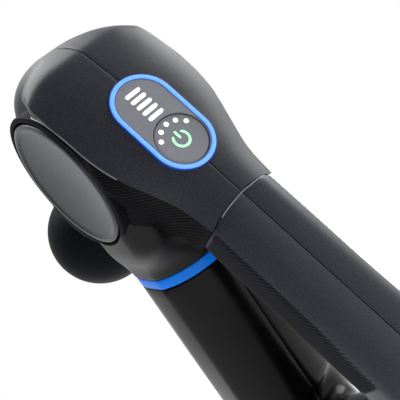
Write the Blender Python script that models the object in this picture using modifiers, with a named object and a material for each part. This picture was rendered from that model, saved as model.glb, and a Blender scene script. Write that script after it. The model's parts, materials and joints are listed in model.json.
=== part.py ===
"""A triangular-handled massage gun: moulded head, rear grip, front leg, crank drive and ball head."""

import math

import bmesh
import bpy
from mathutils import Matrix, Vector

MM = 0.001

# Shared clearances and walls
CLEARANCE = 0.3 * MM
SEAM = 0.3 * MM
WALL = 2.5 * MM

# Head: sizes are measured from the motor axis, which runs along Y
MOTOR_HEIGHT = 181 * MM
DRUM_RADIUS = 43 * MM
HOOD_RADIUS = 44 * MM
HOOD_RISE = 6 * MM
REAR_FACE = 41 * MM
HEAD_HALF_WIDTH = 30.4 * MM
CROWN_HALF_WIDTH = 14 * MM
HOOD_ROUND = 6 * MM
HOOD_LIP = 7 * MM
HOOD_LAP = 1 * MM
FLANK_STEP = 1.2 * MM
FLANK_ROUND = 4 * MM
CAVITY_RADIUS = 38 * MM
CAVITY_HALF_WIDTH = 12 * MM
NECK_END = 58 * MM
NECK_BULGE = 3 * MM

# Round side caps
CAP_RADIUS = 30.2 * MM
CAP_REACH = 31.1 * MM
CAP_THICKNESS = 3.2 * MM
CAP_DISH = 1.0 * MM
CAP_RIM = 2.4 * MM
CAP_GAP = 0.7 * MM
BOSS_WALL = 2.4 * MM
BOSS_SETBACK = 0.6 * MM
BORE_RADIUS = 28 * MM

# Control panel on the rear face
PANEL_LENGTH = 45 * MM
PANEL_WIDTH = 26 * MM
PANEL_DROP = 18 * MM
RING_WIDTH = 1.7 * MM
RING_PROUD = 0.3 * MM
RING_THICKNESS = 2.4 * MM
PLATE_THICKNESS = 1.8 * MM
BUTTON_RADIUS = 10.4 * MM
BUTTON_TRAVEL = 0.7 * MM
BUTTON_THICKNESS = 2.6 * MM
BUTTON_FACE = 1.0 * MM
BAR_COUNT = 5
BAR_LENGTH = 7.2 * MM
BAR_HEIGHT = 1.35 * MM
BAR_PITCH = 3.0 * MM
BAR_TOP_DROP = 6.9 * MM
DOT_COUNT = 5
DOT_RADIUS = 0.8 * MM
DOT_CIRCLE = 7.9 * MM
DOT_SPREAD = 120
ICON_RADIUS = 3.2 * MM
ICON_STROKE = 1.1 * MM
GUIDE_WEB = 0.9 * MM
GUIDE_SETBACK = 0.2 * MM
BOARD_THICKNESS = 1.6 * MM
SWITCH_HEIGHT = 1.5 * MM

# Rear arm and base bar, one bent tube
HANDLE_WIDTH = 35 * MM
HANDLE_DEPTH = 30 * MM
HANDLE_ROUND = 9 * MM
REAR_BEND = 22 * MM
JOINT_SETBACK = 2 * MM

# Front leg, whose axis runs down and forward from the motor axis
LEG_SLOPE = math.radians(59)
LEG_WIDTH = 54 * MM
LEG_DEPTH = 49 * MM
LEG_ROUND = 20 * MM
LEG_ROOT_WIDTH = 56 * MM
FRONT_BEND = 27 * MM
BAND_START = 57 * MM
BAND_LENGTH = 5 * MM

# Nose, guide and drive
NOSE_REACH = 63 * MM
NOSE_ROOT_RADIUS = 24 * MM
NOSE_TIP_RADIUS = 16.5 * MM
NOSE_RING_LENGTH = 4 * MM
BUSH_START = 45 * MM
BUSH_WALL = 3.5 * MM
STROKE = 16 * MM
ROD_LENGTH = 28 * MM
ROD_THICKNESS = 7 * MM
ROD_BIG_END = 9.5 * MM
ROD_SMALL_END = 5.3 * MM
ROD_BAR_WIDTH = 8 * MM
CRANK_RADIUS = 16 * MM
CRANK_THICKNESS = 2.6 * MM
CRANK_PIN_RADIUS = 3.5 * MM
ROD_BEARING_RADIUS = 6.5 * MM
WRIST_PIN_RADIUS = 2.5 * MM
SHAFT_RADIUS = 7 * MM
SHAFT_SHOW = 2.7 * MM
SPIGOT_RADIUS = 4.5 * MM
SPIGOT_LENGTH = 18 * MM

# Motor
MOTOR_SHAFT_RADIUS = 3 * MM
ROTOR_RADIUS = 22 * MM
ROTOR_WALL = 2.5 * MM
STATOR_TEETH = 9
STATOR_TOOTH_WIDTH = 4 * MM
STATOR_YOKE_RADIUS = 12 * MM
HUB_RADIUS = 8.5 * MM
MOUNT_THICKNESS = 3 * MM
BEARING_RADIUS = 6.5 * MM
BEARING_WIDTH = 4 * MM

# Battery, in the leg
CELL_RADIUS = 9.1 * MM
CELL_LENGTH = 65 * MM
CELL_COUNT = 3
HOLDER_THICKNESS = 4 * MM
HOLDER_START = 66 * MM

# Charging socket in the rear arm
SOCKET_DROP = 138 * MM
SOCKET_WIDTH = 10.5 * MM
SOCKET_HEIGHT = 4.6 * MM
SOCKET_DEPTH = 8 * MM
SOCKET_SLOT = 2.4 * MM

# Ball attachment
BALL_RADIUS = 30 * MM
BALL_STANDOFF = 34 * MM
STEM_RADIUS = 9 * MM
STEM_FLANGE = 2.5 * MM

# Places that follow from the sizes
CRANK_ARM = STROKE / 2
CAP_SEAT = CAP_REACH - CAP_THICKNESS - CLEARANCE
BOSS_RADIUS = CAP_RADIUS + CAP_GAP + BOSS_WALL
SHAFT_END = NOSE_REACH + CLEARANCE + NOSE_RING_LENGTH + SHAFT_SHOW
BALL_REACH = SHAFT_END + BALL_STANDOFF
CENTRE_X = (REAR_FACE + RING_PROUD - BALL_REACH - BALL_RADIUS) / 2
BUTTON_DROP = PANEL_DROP + (PANEL_LENGTH - PANEL_WIDTH) / 2
GUIDE_START = BUTTON_FACE + GUIDE_SETBACK
GUIDE_END = GUIDE_START + GUIDE_WEB
SWITCH_FACE = GUIDE_END + BUTTON_TRAVEL + CLEARANCE
BOARD_OUTSIDE = SWITCH_FACE + SWITCH_HEIGHT + CLEARANCE
POCKET_DEPTH = BOARD_OUTSIDE + BOARD_THICKNESS + CLEARANCE
BASE_LINE = MOTOR_HEIGHT - HANDLE_DEPTH / 2
ARM_LINE = REAR_FACE - HANDLE_DEPTH / 2
LEG_DIRECTION = Vector((math.cos(LEG_SLOPE), 0, -math.sin(LEG_SLOPE)))
LEG_FRONT = Vector((math.sin(LEG_SLOPE), 0, math.cos(LEG_SLOPE)))
SIDEWAYS = Vector((0, 1, 0))
CELLS_START = HOLDER_START + HOLDER_THICKNESS + CLEARANCE
CELLS_END = CELLS_START + CELL_LENGTH
LEG_TAPER_START = CELLS_END + CLEARANCE + HOLDER_THICKNESS + 1 * MM
LEG_CORNER = BASE_LINE / math.sin(LEG_SLOPE)
FRONT_BEND_START = LEG_CORNER - FRONT_BEND * math.tan((math.pi - LEG_SLOPE) / 2)
FRONT_BEND_CENTRE = LEG_DIRECTION * FRONT_BEND_START - LEG_FRONT * FRONT_BEND
HANDLE_JOINT = FRONT_BEND_CENTRE.x - JOINT_SETBACK
ROD_HALF = ROD_THICKNESS / 2
TONGUE_FACE = ROD_HALF + CLEARANCE
ROUND_SHAFT_START = ROD_LENGTH - CRANK_ARM + STROKE + ROD_SMALL_END + CLEARANCE
CRANK_FACE = -ROD_HALF - CLEARANCE
CRANK_BACK = CRANK_FACE - CRANK_THICKNESS
ROTOR_FACE = CRANK_BACK - CLEARANCE
MOUNT_FACE = -CAP_SEAT + MOUNT_THICKNESS + CLEARANCE
STEM_END = SHAFT_END + CLEARANCE + SPIGOT_LENGTH + CLEARANCE + STEM_FLANGE

bpy.ops.object.select_all(action="DESELECT")
for leftover in list(bpy.data.objects):
    bpy.data.objects.remove(leftover)

parts = bpy.data.collections.new("massage_gun")
cutters = bpy.data.collections.new("cutters")
cutters.hide_render = True
for collection in (parts, cutters):
    bpy.context.scene.collection.children.link(collection)


def empty(name, place, parent=None):
    """An empty that carries the pieces of one joint."""
    mark = bpy.data.objects.new(name, None)
    mark.location = place
    mark.parent = parent
    parts.objects.link(mark)
    return mark


motor_axis = empty("motor_axis", (CENTRE_X, 0, MOTOR_HEIGHT))
crank_pin_axis = empty("crank_pin_axis", (-CRANK_ARM, 0, 0), motor_axis)
button_axis = empty("button_axis", (-REAR_FACE, 0, -BUTTON_DROP), motor_axis)


def material(name, colour, roughness, metallic=0.0):
    """A Principled material; colour is linear red, green and blue."""
    made = bpy.data.materials.new(name)
    made.use_nodes = True
    shader = made.node_tree.nodes["Principled BSDF"]
    shader.inputs["Base Color"].default_value = (*colour, 1)
    shader.inputs["Roughness"].default_value = roughness
    shader.inputs["Metallic"].default_value = metallic
    return made


SOFT_CHARCOAL = material("soft_charcoal", (0.027, 0.028, 0.031), 0.6)
GLOSS_BLACK = material("gloss_black", (0.006, 0.006, 0.007), 0.2)
SATIN_GREY = material("satin_grey", (0.08, 0.08, 0.085), 0.4)
ACCENT_BLUE = material("accent_blue", (0.0, 0.16, 0.7), 0.3)
LIGHT_BLUE = material("light_blue", (0.15, 0.45, 1.0), 0.4)
PANEL_GREY = material("panel_grey", (0.2, 0.2, 0.22), 0.4)
LIGHT_WHITE = material("light_white", (0.9, 0.9, 0.9), 0.4)
LIGHT_GREEN = material("light_green", (0.4, 0.9, 0.5), 0.4)
BOARD_GREEN = material("board_green", (0.01, 0.09, 0.03), 0.5)
STEEL = material("steel", (0.55, 0.55, 0.57), 0.3, 1.0)
ALUMINIUM = material("aluminium", (0.65, 0.66, 0.68), 0.35, 1.0)
BRONZE = material("bronze", (0.5, 0.33, 0.13), 0.35, 1.0)
CORE_STEEL = material("core_steel", (0.25, 0.25, 0.26), 0.5, 1.0)
CELL_BLUE = material("cell_blue", (0.03, 0.1, 0.22), 0.5)
HOLDER_BLACK = material("holder_black", (0.012, 0.012, 0.013), 0.5)
FOAM_BLACK = material("foam_black", (0.012, 0.013, 0.017), 0.8)


def piece(name, mesh, finish=None, parent=motor_axis, place=(0, 0, 0), turn=(0, 0, 0)):
    """A finished part, or a cutter where no finish is given."""
    made = bpy.data.objects.new(name, mesh)
    made.parent = parent
    made.location = place
    made.rotation_euler = turn
    if finish:
        parts.objects.link(made)
        mesh.materials.append(finish)
        return made
    cutters.objects.link(made)
    made.hide_render = True
    made.display_type = "WIRE"
    return made


def boolean(target, operation, *tools, solver="EXACT"):
    """Boolean modifiers on one object, one for each tool."""
    for tool in tools:
        step = target.modifiers.new(tool.name, "BOOLEAN")
        step.operation = operation
        step.object = tool
        step.solver = solver
    return target


def smooth(made):
    """Round faces shaded smooth, with the edges kept crisp."""
    made.data.shade_smooth()
    made.data.set_sharp_from_angle(angle=math.radians(35))
    return made


def mesh_from(build, name):
    """A mesh built by a function that fills a bmesh."""
    form = bmesh.new()
    build(form)
    bmesh.ops.recalc_face_normals(form, faces=form.faces)
    mesh = bpy.data.meshes.new(name)
    form.to_mesh(mesh)
    form.free()
    return mesh


def box_mesh(name, low, high):
    """A box between two corners."""
    low = Vector(low)
    high = Vector(high)

    def build(form):
        bmesh.ops.create_cube(form, size=1, matrix=Matrix.Translation((low + high) / 2))
        bmesh.ops.scale(form, vec=high - low, verts=form.verts,
                        space=Matrix.Translation(-(low + high) / 2))

    return mesh_from(build, name)


def loft_mesh(name, rings):
    """A closed solid through rings that have equal numbers of points."""

    def build(form):
        rows = [[form.verts.new(point) for point in ring] for ring in rings]
        for row, following in zip(rows, rows[1:]):
            for here in range(len(row)):
                there = (here + 1) % len(row)
                form.faces.new((row[here], row[there], following[there], following[here]))
        form.faces.new(rows[0])
        form.faces.new(rows[-1])

    return mesh_from(build, name)


def prism_mesh(name, outline, start, end, across=Vector((0, 1, 0)), along=Vector((0, 0, 1))):
    """An outline of (across, along) points swept square to its plane from start to end."""
    depth = across.cross(along)
    rings = [[across * a + along * b + depth * reach for a, b in outline] for reach in (start, end)]
    return loft_mesh(name, rings)


def profile_mesh(name, profile):
    """A profile of (radius, height) points that runs down its outer side, for a Screw."""
    mesh = bpy.data.meshes.new(name)
    points = [(radius, 0, height) for radius, height in profile]
    edges = [(i, i + 1) for i in range(len(points) - 1)]
    if profile[0][0] > 0:
        edges.append((len(points) - 1, 0))
    mesh.from_pydata(points, edges, [])
    return mesh


ALONG_Y = (-math.pi / 2, 0, 0)
ALONG_X = (0, math.pi / 2, 0)


def turned(name, profile, finish=None, turn=ALONG_Y, steps=32, parent=motor_axis, place=(0, 0, 0)):
    """A turned piece on the Y or X axis of its parent."""
    made = piece(name, profile_mesh(name, profile), finish, parent, place, turn)
    screw = made.modifiers.new("turn", "SCREW")
    screw.steps = steps
    screw.render_steps = steps
    screw.use_merge_vertices = True
    screw.merge_threshold = 0.00001
    screw.use_smooth_shade = True
    return made


def rod_profile(radius, low, high):
    """The profile of a plain round bar."""
    return [(0, high), (radius, high), (radius, low), (0, low)]


def ring_profile(inner, outer, low, high):
    """The profile of a plain ring."""
    return [(outer, high), (outer, low), (inner, low), (inner, high)]


def arc(centre, radius, start, end, count):
    """Points along an arc, with angles in degrees."""
    angles = [math.radians(start + (end - start) * i / (count - 1)) for i in range(count)]
    return [(centre[0] + radius * math.cos(a), centre[1] + radius * math.sin(a)) for a in angles]


def rounded_outline(half_a, half_b, radius, count=4):
    """A rectangle with round corners, about its middle."""
    points = []
    for quarter, (sign_a, sign_b) in enumerate(((1, 1), (-1, 1), (-1, -1), (1, -1))):
        centre = (sign_a * (half_a - radius), sign_b * (half_b - radius))
        points += arc(centre, radius, 90 * quarter, 90 * quarter + 90, count)
    return points


def stadium_outline(length, width, count=11):
    """A stadium that stands along its second axis."""
    straight = (length - width) / 2
    top = arc((0, straight), width / 2, 0, 180, count)
    return top + arc((0, -straight), width / 2, 180, 360, count)


def shifted(outline, along):
    """An outline moved along its second axis."""
    return [(a, b + along) for a, b in outline]


# Half spaces that split the shells at the centre seam
REACH = 0.4


def half_space(name, side, finish):
    """A box that fills one side of the centre seam, as the start of one shell half."""
    near = side * SEAM / 2
    far = side * REACH
    low = (-REACH, min(near, far), -REACH)
    high = (REACH, max(near, far), REACH)
    return piece(name, box_mesh(name, low, high), finish)


# Head form: a drum with a hood over its back, the leg's root and the nose

def drum_profile(radius, wide, rounding):
    """A drum with rounded shoulders, turned about the motor axis."""
    shoulder = arc((radius - rounding, wide - rounding), rounding, 90, 0, 4)
    upper = [(0, wide)] + shoulder
    return upper + [(r, -h) for r, h in reversed(shoulder)] + [(0, -wide)]


# The head's half width at heights from the motor axis, which is its outline seen from behind
HEAD_OUTLINE = (
    (HOOD_RISE + HOOD_RADIUS, CROWN_HALF_WIDTH),
    (42 * MM, CROWN_HALF_WIDTH + 7 * MM),
    (28 * MM, HEAD_HALF_WIDTH - 3 * MM),
    (8 * MM, HEAD_HALF_WIDTH),
    (-10 * MM, HEAD_HALF_WIDTH - 0.4 * MM),
    (-22 * MM, HEAD_HALF_WIDTH - 2.8 * MM),
    (-34 * MM, HANDLE_WIDTH / 2 + 5.8 * MM),
    (-46 * MM, HANDLE_WIDTH / 2 + 1.6 * MM),
    (-NECK_END, HANDLE_WIDTH / 2),
)


def half_width(height):
    """The head's half width at a height, by straight stretches of its outline."""
    for (upper, wide), (lower, narrow) in zip(HEAD_OUTLINE, HEAD_OUTLINE[1:]):
        if height >= lower:
            share = min((upper - height) / (upper - lower), 1)
            return wide + (narrow - wide) * max(share, 0)
    return HANDLE_WIDTH / 2


def place(x, z):
    """A point or direction in the centre plane."""
    return Vector((x, 0, z))


def hood_rings():
    """Sections of the hood, over the top along the boss's rim and down the back to the rear arm."""
    middle = place(HOOD_RADIUS - REAR_FACE, HOOD_RISE)
    rim = BOSS_RADIUS - HOOD_LAP
    stations = []
    for a, b in arc((0, 0), 1, 20, 180, 17):
        normal = place(a, b)
        lean = middle.dot(normal)
        rim_reach = math.sqrt(lean ** 2 - middle.length_squared + rim ** 2) - lean
        stations.append((middle + normal * HOOD_RADIUS, normal, HOOD_RADIUS - rim_reach))
    for height, _ in HEAD_OUTLINE[4:]:
        stations.append((place(-REAR_FACE, height), place(-1, 0), HOOD_LIP))
    rings = []
    for point, normal, depth in stations:
        wide = half_width(point.z)
        corner = arc((-HOOD_ROUND, wide - HOOD_ROUND), HOOD_ROUND, 90, 0, 5)
        outline = [(-depth, wide)] + corner
        outline += [(a, -b) for a, b in reversed(outline)]
        rings.append([point + normal * a + SIDEWAYS * b for a, b in outline])
    return rings


def level_rings(stations):
    """Level sections of (height, back, front, half width, corner radius)."""
    rings = []
    for height, back, front, wide, radius in stations:
        outline = rounded_outline((front - back) / 2, wide, radius)
        rings.append([((front + back) / 2 + a, b, height) for a, b in outline])
    return rings


def core_stations():
    """The drum below the hood and the neck that runs down into the rear arm."""
    arm_front = -(REAR_FACE - HANDLE_DEPTH)
    fronts = (None, None, None, None, None, None, 0, arm_front + NECK_BULGE, arm_front)
    stations = []
    for (height, wide), front in list(zip(HEAD_OUTLINE, fronts))[2:]:
        across = math.sqrt(max(DRUM_RADIUS ** 2 - height ** 2, 0))
        back = REAR_FACE - FLANK_STEP
        if height > 0:
            back = min(across, back)
        stations.append((height, -back, across if front is None else front, wide - FLANK_STEP, FLANK_ROUND))
    return stations


def leg_rings(stations, inset=0.0):
    """Sections square to the leg's axis: (distance, width, depth, corner radius)."""
    rings = []
    for distance, width, depth, radius in stations:
        outline = rounded_outline(depth / 2 - inset, width / 2 - inset, radius - inset)
        middle = LEG_DIRECTION * distance
        rings.append([middle + LEG_FRONT * a + SIDEWAYS * b for a, b in outline])
    return rings


def head_form():
    """The whole outer form of the head, before it is hollowed and split."""
    core = piece("head_core", loft_mesh("head_core", level_rings(core_stations())))
    hood = piece("hood", loft_mesh("hood", hood_rings()))
    root_stations = (
        (0, LEG_ROOT_WIDTH, LEG_DEPTH, LEG_ROUND),
        (24 * MM, LEG_ROOT_WIDTH, LEG_DEPTH, LEG_ROUND),
        (40 * MM, (LEG_ROOT_WIDTH + LEG_WIDTH) / 2, LEG_DEPTH, LEG_ROUND),
        (BAND_START, LEG_WIDTH, LEG_DEPTH, LEG_ROUND),
    )
    root = piece("leg_root", loft_mesh("leg_root", leg_rings(root_stations)))
    nose = turned("nose_cone", [
        (0, NOSE_REACH), (NOSE_TIP_RADIUS - 1 * MM, NOSE_REACH), (NOSE_TIP_RADIUS, NOSE_REACH - 1 * MM),
        (NOSE_TIP_RADIUS + 1.5 * MM, NOSE_REACH - 10 * MM), (NOSE_ROOT_RADIUS, DRUM_RADIUS - 6 * MM),
        (NOSE_ROOT_RADIUS, 0), (0, 0)], turn=ALONG_X, steps=32)
    boss_reach = CAP_REACH - BOSS_SETBACK
    boss_edge = 0.6 * MM
    boss = turned("cap_boss", [
        (0, boss_reach), (BOSS_RADIUS - boss_edge, boss_reach), (BOSS_RADIUS, boss_reach - boss_edge),
        (BOSS_RADIUS, -boss_reach + boss_edge), (BOSS_RADIUS - boss_edge, -boss_reach), (0, -boss_reach)],
        steps=40)
    return boolean(core, "UNION", hood, root, nose, boss, solver="MANIFOLD")


def head_cavity():
    """All that is hollow in the head, as one form."""
    drum = turned("head_cavity", drum_profile(CAVITY_RADIUS, CAVITY_HALF_WIDTH, FLANK_ROUND), steps=32)
    bore = turned("side_bore", rod_profile(BORE_RADIUS, -CAP_REACH, CAP_REACH), steps=36)
    seats = [
        turned(f"cap_seat_{name}", rod_profile(CAP_RADIUS + CAP_GAP, *sorted((side * CAP_SEAT, side * REACH))),
               steps=40)
        for name, side in (("left", 1), ("right", -1))
    ]
    arm_front = -(REAR_FACE - HANDLE_DEPTH)
    inset = FLANK_STEP + WALL
    stations = [(height, -REAR_FACE + WALL, arm_front - WALL, min(wide - inset, CAVITY_HALF_WIDTH), HANDLE_ROUND - WALL)
                for height, wide in HEAD_OUTLINE[4:]]
    stations.append((-NECK_END - 1 * MM, *stations[-1][1:]))
    neck = piece("neck_cavity", loft_mesh("neck_cavity", level_rings(stations)))
    root = piece("root_cavity", loft_mesh("root_cavity", leg_rings(
        [(distance, LEG_WIDTH, LEG_DEPTH, LEG_ROUND) for distance in (20 * MM, BAND_START + 1 * MM)], WALL)))
    bush = SHAFT_RADIUS + CLEARANCE + BUSH_WALL + CLEARANCE
    bush_seat = turned("bush_seat", rod_profile(bush, 0, NOSE_REACH + 1 * MM), turn=ALONG_X, steps=32)
    pocket = piece("panel_pocket", prism_mesh(
        "panel_pocket", shifted(stadium_outline(PANEL_LENGTH + 2 * CLEARANCE, PANEL_WIDTH + 2 * CLEARANCE),
                                -PANEL_DROP), -REAR_FACE - 2 * MM, -REAR_FACE + POCKET_DEPTH))
    return boolean(drum, "UNION", bore, *seats, neck, root, bush_seat, pocket, solver="MANIFOLD")


def weld(made):
    """Points that Booleans leave side by side made one."""
    step = made.modifiers.new("weld", "WELD")
    step.merge_threshold = 0.01 * MM
    return made


head = head_form()
hollow_head = head_cavity()
for name, side in (("left", 1), ("right", -1)):
    shell = half_space(f"head_shell_{name}", side, SOFT_CHARCOAL)
    boolean(shell, "INTERSECT", head, solver="MANIFOLD")
    weld(boolean(shell, "DIFFERENCE", hollow_head, solver="MANIFOLD"))


# Handle tube: path stations of (point, outward normal, width, depth, corner radius)

def grip_stations(overrun):
    """Down the rear arm, round the rear bend and along the base bar."""
    size = (HANDLE_WIDTH, HANDLE_DEPTH, HANDLE_ROUND)
    bend = place(-ARM_LINE + REAR_BEND, -BASE_LINE + REAR_BEND)
    stations = [(place(-ARM_LINE, -NECK_END - SEAM + overrun), place(-1, 0), *size)]
    for a, b in arc((0, 0), 1, 180, 270, 7):
        stations.append((bend + place(a, b) * REAR_BEND, place(a, b), *size))
    stations.append((place(HANDLE_JOINT - SEAM / 2 + overrun, -BASE_LINE), place(0, -1), *size))
    return stations


def leg_stations(overrun):
    """Down the leg, round the front bend to the base bar, thinning on the way."""
    size = (LEG_WIDTH, LEG_DEPTH, LEG_ROUND)
    first = BAND_START + BAND_LENGTH + 2 * SEAM - overrun
    stations = [(LEG_DIRECTION * first, LEG_FRONT, *size), (LEG_DIRECTION * LEG_TAPER_START, LEG_FRONT, *size)]
    count = 9
    for step, (a, b) in enumerate(arc((0, 0), 1, 90 - math.degrees(LEG_SLOPE), -90, count)):
        share = (step + 1) / count
        thin = [wide + (slim - wide) * share for wide, slim in
                zip(size, (HANDLE_WIDTH, HANDLE_DEPTH, HANDLE_ROUND))]
        stations.append((FRONT_BEND_CENTRE + place(a, b) * FRONT_BEND, place(a, b), *thin))
    last = place(HANDLE_JOINT + SEAM / 2 - overrun, -BASE_LINE)
    stations.append((last, place(0, -1), HANDLE_WIDTH, HANDLE_DEPTH, HANDLE_ROUND))
    return stations


def tube_rings(stations, inset):
    """Sections of a tube at its stations."""
    rings = []
    for point, normal, width, depth, radius in stations:
        outline = rounded_outline(depth / 2 - inset, width / 2 - inset, radius - inset)
        rings.append([point + normal * a + SIDEWAYS * b for a, b in outline])
    return rings


socket_hole = piece("socket_hole", prism_mesh(
    "socket_hole", shifted(rounded_outline(SOCKET_WIDTH / 2 + CLEARANCE, SOCKET_HEIGHT / 2 + CLEARANCE,
                                           SOCKET_HEIGHT / 2 - 0.2 * MM), -SOCKET_DROP),
    -REAR_FACE - 2 * MM, -REAR_FACE + SOCKET_DEPTH))
for tube, stations, finish, extra in (
    ("grip", grip_stations, SOFT_CHARCOAL, [socket_hole]),
    ("leg", leg_stations, GLOSS_BLACK, []),
):
    outer = piece(f"{tube}_outer", loft_mesh(f"{tube}_outer", tube_rings(stations(0), 0)))
    inner = piece(f"{tube}_inner", loft_mesh(f"{tube}_inner", tube_rings(stations(1 * MM), WALL)))
    for name, side in (("left", 1), ("right", -1)):
        shell = half_space(f"{tube}_shell_{name}", side, finish)
        boolean(shell, "INTERSECT", outer)
        weld(boolean(shell, "DIFFERENCE", inner, *extra))

band_span = (BAND_START + SEAM, BAND_START + SEAM + BAND_LENGTH)
band = piece("accent_band", loft_mesh("accent_band", leg_rings(
    [(distance, LEG_WIDTH, LEG_DEPTH, LEG_ROUND) for distance in band_span])), ACCENT_BLUE)
boolean(band, "DIFFERENCE", piece("band_hole", loft_mesh("band_hole", leg_rings(
    [(distance, LEG_WIDTH, LEG_DEPTH, LEG_ROUND) for distance in (band_span[0] - 1 * MM, band_span[1] + 1 * MM)],
    WALL))))


# Side caps: dished discs with a bevelled rim
for name, side in (("left", 1), ("right", -1)):
    seat = CAP_SEAT + CLEARANCE
    profile = [
        (0, CAP_REACH - CAP_DISH), (CAP_RADIUS * 0.6, CAP_REACH - CAP_DISH * 0.8),
        (CAP_RADIUS - CAP_RIM, CAP_REACH - CAP_DISH * 0.3), (CAP_RADIUS - CAP_RIM * 0.6, CAP_REACH),
        (CAP_RADIUS - 0.5 * MM, CAP_REACH), (CAP_RADIUS, CAP_REACH - 0.5 * MM), (CAP_RADIUS, seat), (0, seat),
    ]
    turned(f"side_cap_{name}", profile, SATIN_GREY, turn=(-side * math.pi / 2, 0, 0), steps=40)


# Control panel
def panel_prism(name, outline, outside, inside, finish=None, parent=motor_axis):
    """A prism square to the rear face; depths run inwards from that face."""
    if parent is motor_axis:
        return piece(name, prism_mesh(name, outline, -REAR_FACE + outside, -REAR_FACE + inside), finish)
    return piece(name, prism_mesh(name, outline, outside, inside), finish, parent)


panel_outer = shifted(stadium_outline(PANEL_LENGTH, PANEL_WIDTH), -PANEL_DROP)
panel_inner = shifted(stadium_outline(PANEL_LENGTH - 2 * RING_WIDTH, PANEL_WIDTH - 2 * RING_WIDTH), -PANEL_DROP)
plate_inset = 2 * (RING_WIDTH + CLEARANCE)
plate_outline = shifted(stadium_outline(PANEL_LENGTH - plate_inset, PANEL_WIDTH - plate_inset), -PANEL_DROP)
light_ring = panel_prism("panel_light_ring", panel_outer, -RING_PROUD, RING_THICKNESS, LIGHT_BLUE)
boolean(light_ring, "DIFFERENCE", panel_prism("ring_hole", panel_inner, -5 * MM, 5 * MM))

bar_drops = [BAR_TOP_DROP + BAR_PITCH * i - PANEL_LENGTH / 2 + PANEL_DROP for i in range(BAR_COUNT)]
plate = panel_prism("panel_plate", plate_outline, 0, PLATE_THICKNESS, PANEL_GREY)
button_circle = arc((0, -BUTTON_DROP), BUTTON_RADIUS + CLEARANCE, 0, 360 - 360 / 32, 32)
bar_slots = [
    panel_prism(f"bar_slot_{i + 1}", shifted(rounded_outline(
        BAR_LENGTH / 2 + CLEARANCE, BAR_HEIGHT / 2 + CLEARANCE, BAR_HEIGHT / 2, 3), -drop), -5 * MM, 5 * MM)
    for i, drop in enumerate(bar_drops)
]
boolean(plate, "DIFFERENCE", panel_prism("button_hole", button_circle, -5 * MM, 5 * MM), *bar_slots)

web_outside = PLATE_THICKNESS + CLEARANCE
web_inside = BOARD_OUTSIDE - CLEARANCE
web_middle = (bar_drops[0] + bar_drops[-1]) / 2
web_half = (bar_drops[-1] - bar_drops[0]) / 2 + BAR_HEIGHT
guide = panel_prism("battery_light_guide", shifted(rounded_outline(
    BAR_LENGTH / 2, web_half, BAR_HEIGHT / 2, 3), -web_middle), web_outside, web_inside, LIGHT_WHITE)
boolean(guide, "UNION", *[
    panel_prism(f"light_bar_{i + 1}", shifted(rounded_outline(
        BAR_LENGTH / 2 - 0.1 * MM, BAR_HEIGHT / 2, BAR_HEIGHT / 2 - 0.1 * MM, 3), -drop), 0, web_inside - 0.2 * MM)
    for i, drop in enumerate(bar_drops)
])

board_inset = plate_inset + 2 * MM
panel_prism("control_board", shifted(stadium_outline(PANEL_LENGTH - board_inset, PANEL_WIDTH - board_inset),
                                     -PANEL_DROP), BOARD_OUTSIDE, BOARD_OUTSIDE + BOARD_THICKNESS, BOARD_GREEN)


# Power button: a cup whose face is pierced for the dots and the power sign
def button_prism(name, outline, outside, inside, finish=None):
    """A prism on the button's own axis."""
    return panel_prism(name, outline, outside, inside, finish, button_axis)


def dot_centres():
    """The dots' centres on an arc over the power sign."""
    return arc((0, 0), DOT_CIRCLE, 90 - DOT_SPREAD / 2, 90 + DOT_SPREAD / 2, DOT_COUNT)


def circle_outline(centre, radius, count=16):
    return arc(centre, radius, 0, 360 - 360 / count, count)


def icon_outlines(grow):
    """The broken ring and the bar of the power sign."""
    outer = ICON_RADIUS + ICON_STROKE / 2 + grow
    inner = ICON_RADIUS - ICON_STROKE / 2 - grow
    broken = arc((0, 0), outer, 130, 410, 19) + arc((0, 0), inner, 410, 130, 19)
    stroke = ICON_STROKE / 2 + grow
    bar = [(stroke, ICON_RADIUS + stroke), (-stroke, ICON_RADIUS + stroke), (-stroke, 0), (stroke, 0)]
    return broken, bar


button = button_prism("power_button", circle_outline((0, 0), BUTTON_RADIUS, 32), 0, BUTTON_THICKNESS, PANEL_GREY)
hollow = button_prism("button_hollow", circle_outline((0, 0), BUTTON_RADIUS - 1 * MM, 32),
                      BUTTON_FACE, BUTTON_THICKNESS + 1 * MM)
dot_gap = 0.15 * MM
holes = [
    button_prism(f"dot_hole_{i + 1}", circle_outline(centre, DOT_RADIUS + dot_gap, 12), -1 * MM, BUTTON_FACE + 1 * MM)
    for i, centre in enumerate(dot_centres())
]
holes += [
    button_prism(f"icon_hole_{i + 1}", outline, -1 * MM, BUTTON_FACE + 1 * MM)
    for i, outline in enumerate(icon_outlines(dot_gap))
]
boolean(button, "DIFFERENCE", hollow, *holes)
web_width = DOT_RADIUS
web_spread = DOT_SPREAD / 2 + 5
web_turn = (90 - web_spread, 90 + web_spread)
dot_web = arc((0, 0), DOT_CIRCLE + web_width, *web_turn, 13)
dot_web += arc((0, 0), DOT_CIRCLE - web_width, *reversed(web_turn), 13)
dots = button_prism("speed_dots", dot_web, GUIDE_START, GUIDE_END, LIGHT_WHITE)
boolean(dots, "UNION", *[
    button_prism(f"dot_{i + 1}", circle_outline(centre, DOT_RADIUS, 12), 0, GUIDE_END - 0.2 * MM)
    for i, centre in enumerate(dot_centres())
])
icon_web = circle_outline((0, 0), ICON_RADIUS + ICON_STROKE, 24)
icon = button_prism("power_icon", icon_web, GUIDE_START, GUIDE_END, LIGHT_GREEN)
boolean(icon, "UNION", *[
    button_prism(f"icon_{i + 1}", outline, 0, GUIDE_END - 0.2 * MM)
    for i, outline in enumerate(icon_outlines(0))
])
switch_outline = shifted(rounded_outline(3 * MM, 3 * MM, 0.6 * MM, 3), -BUTTON_DROP)
panel_prism("tact_switch", switch_outline, SWITCH_FACE, SWITCH_FACE + SWITCH_HEIGHT, HOLDER_BLACK)


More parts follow.
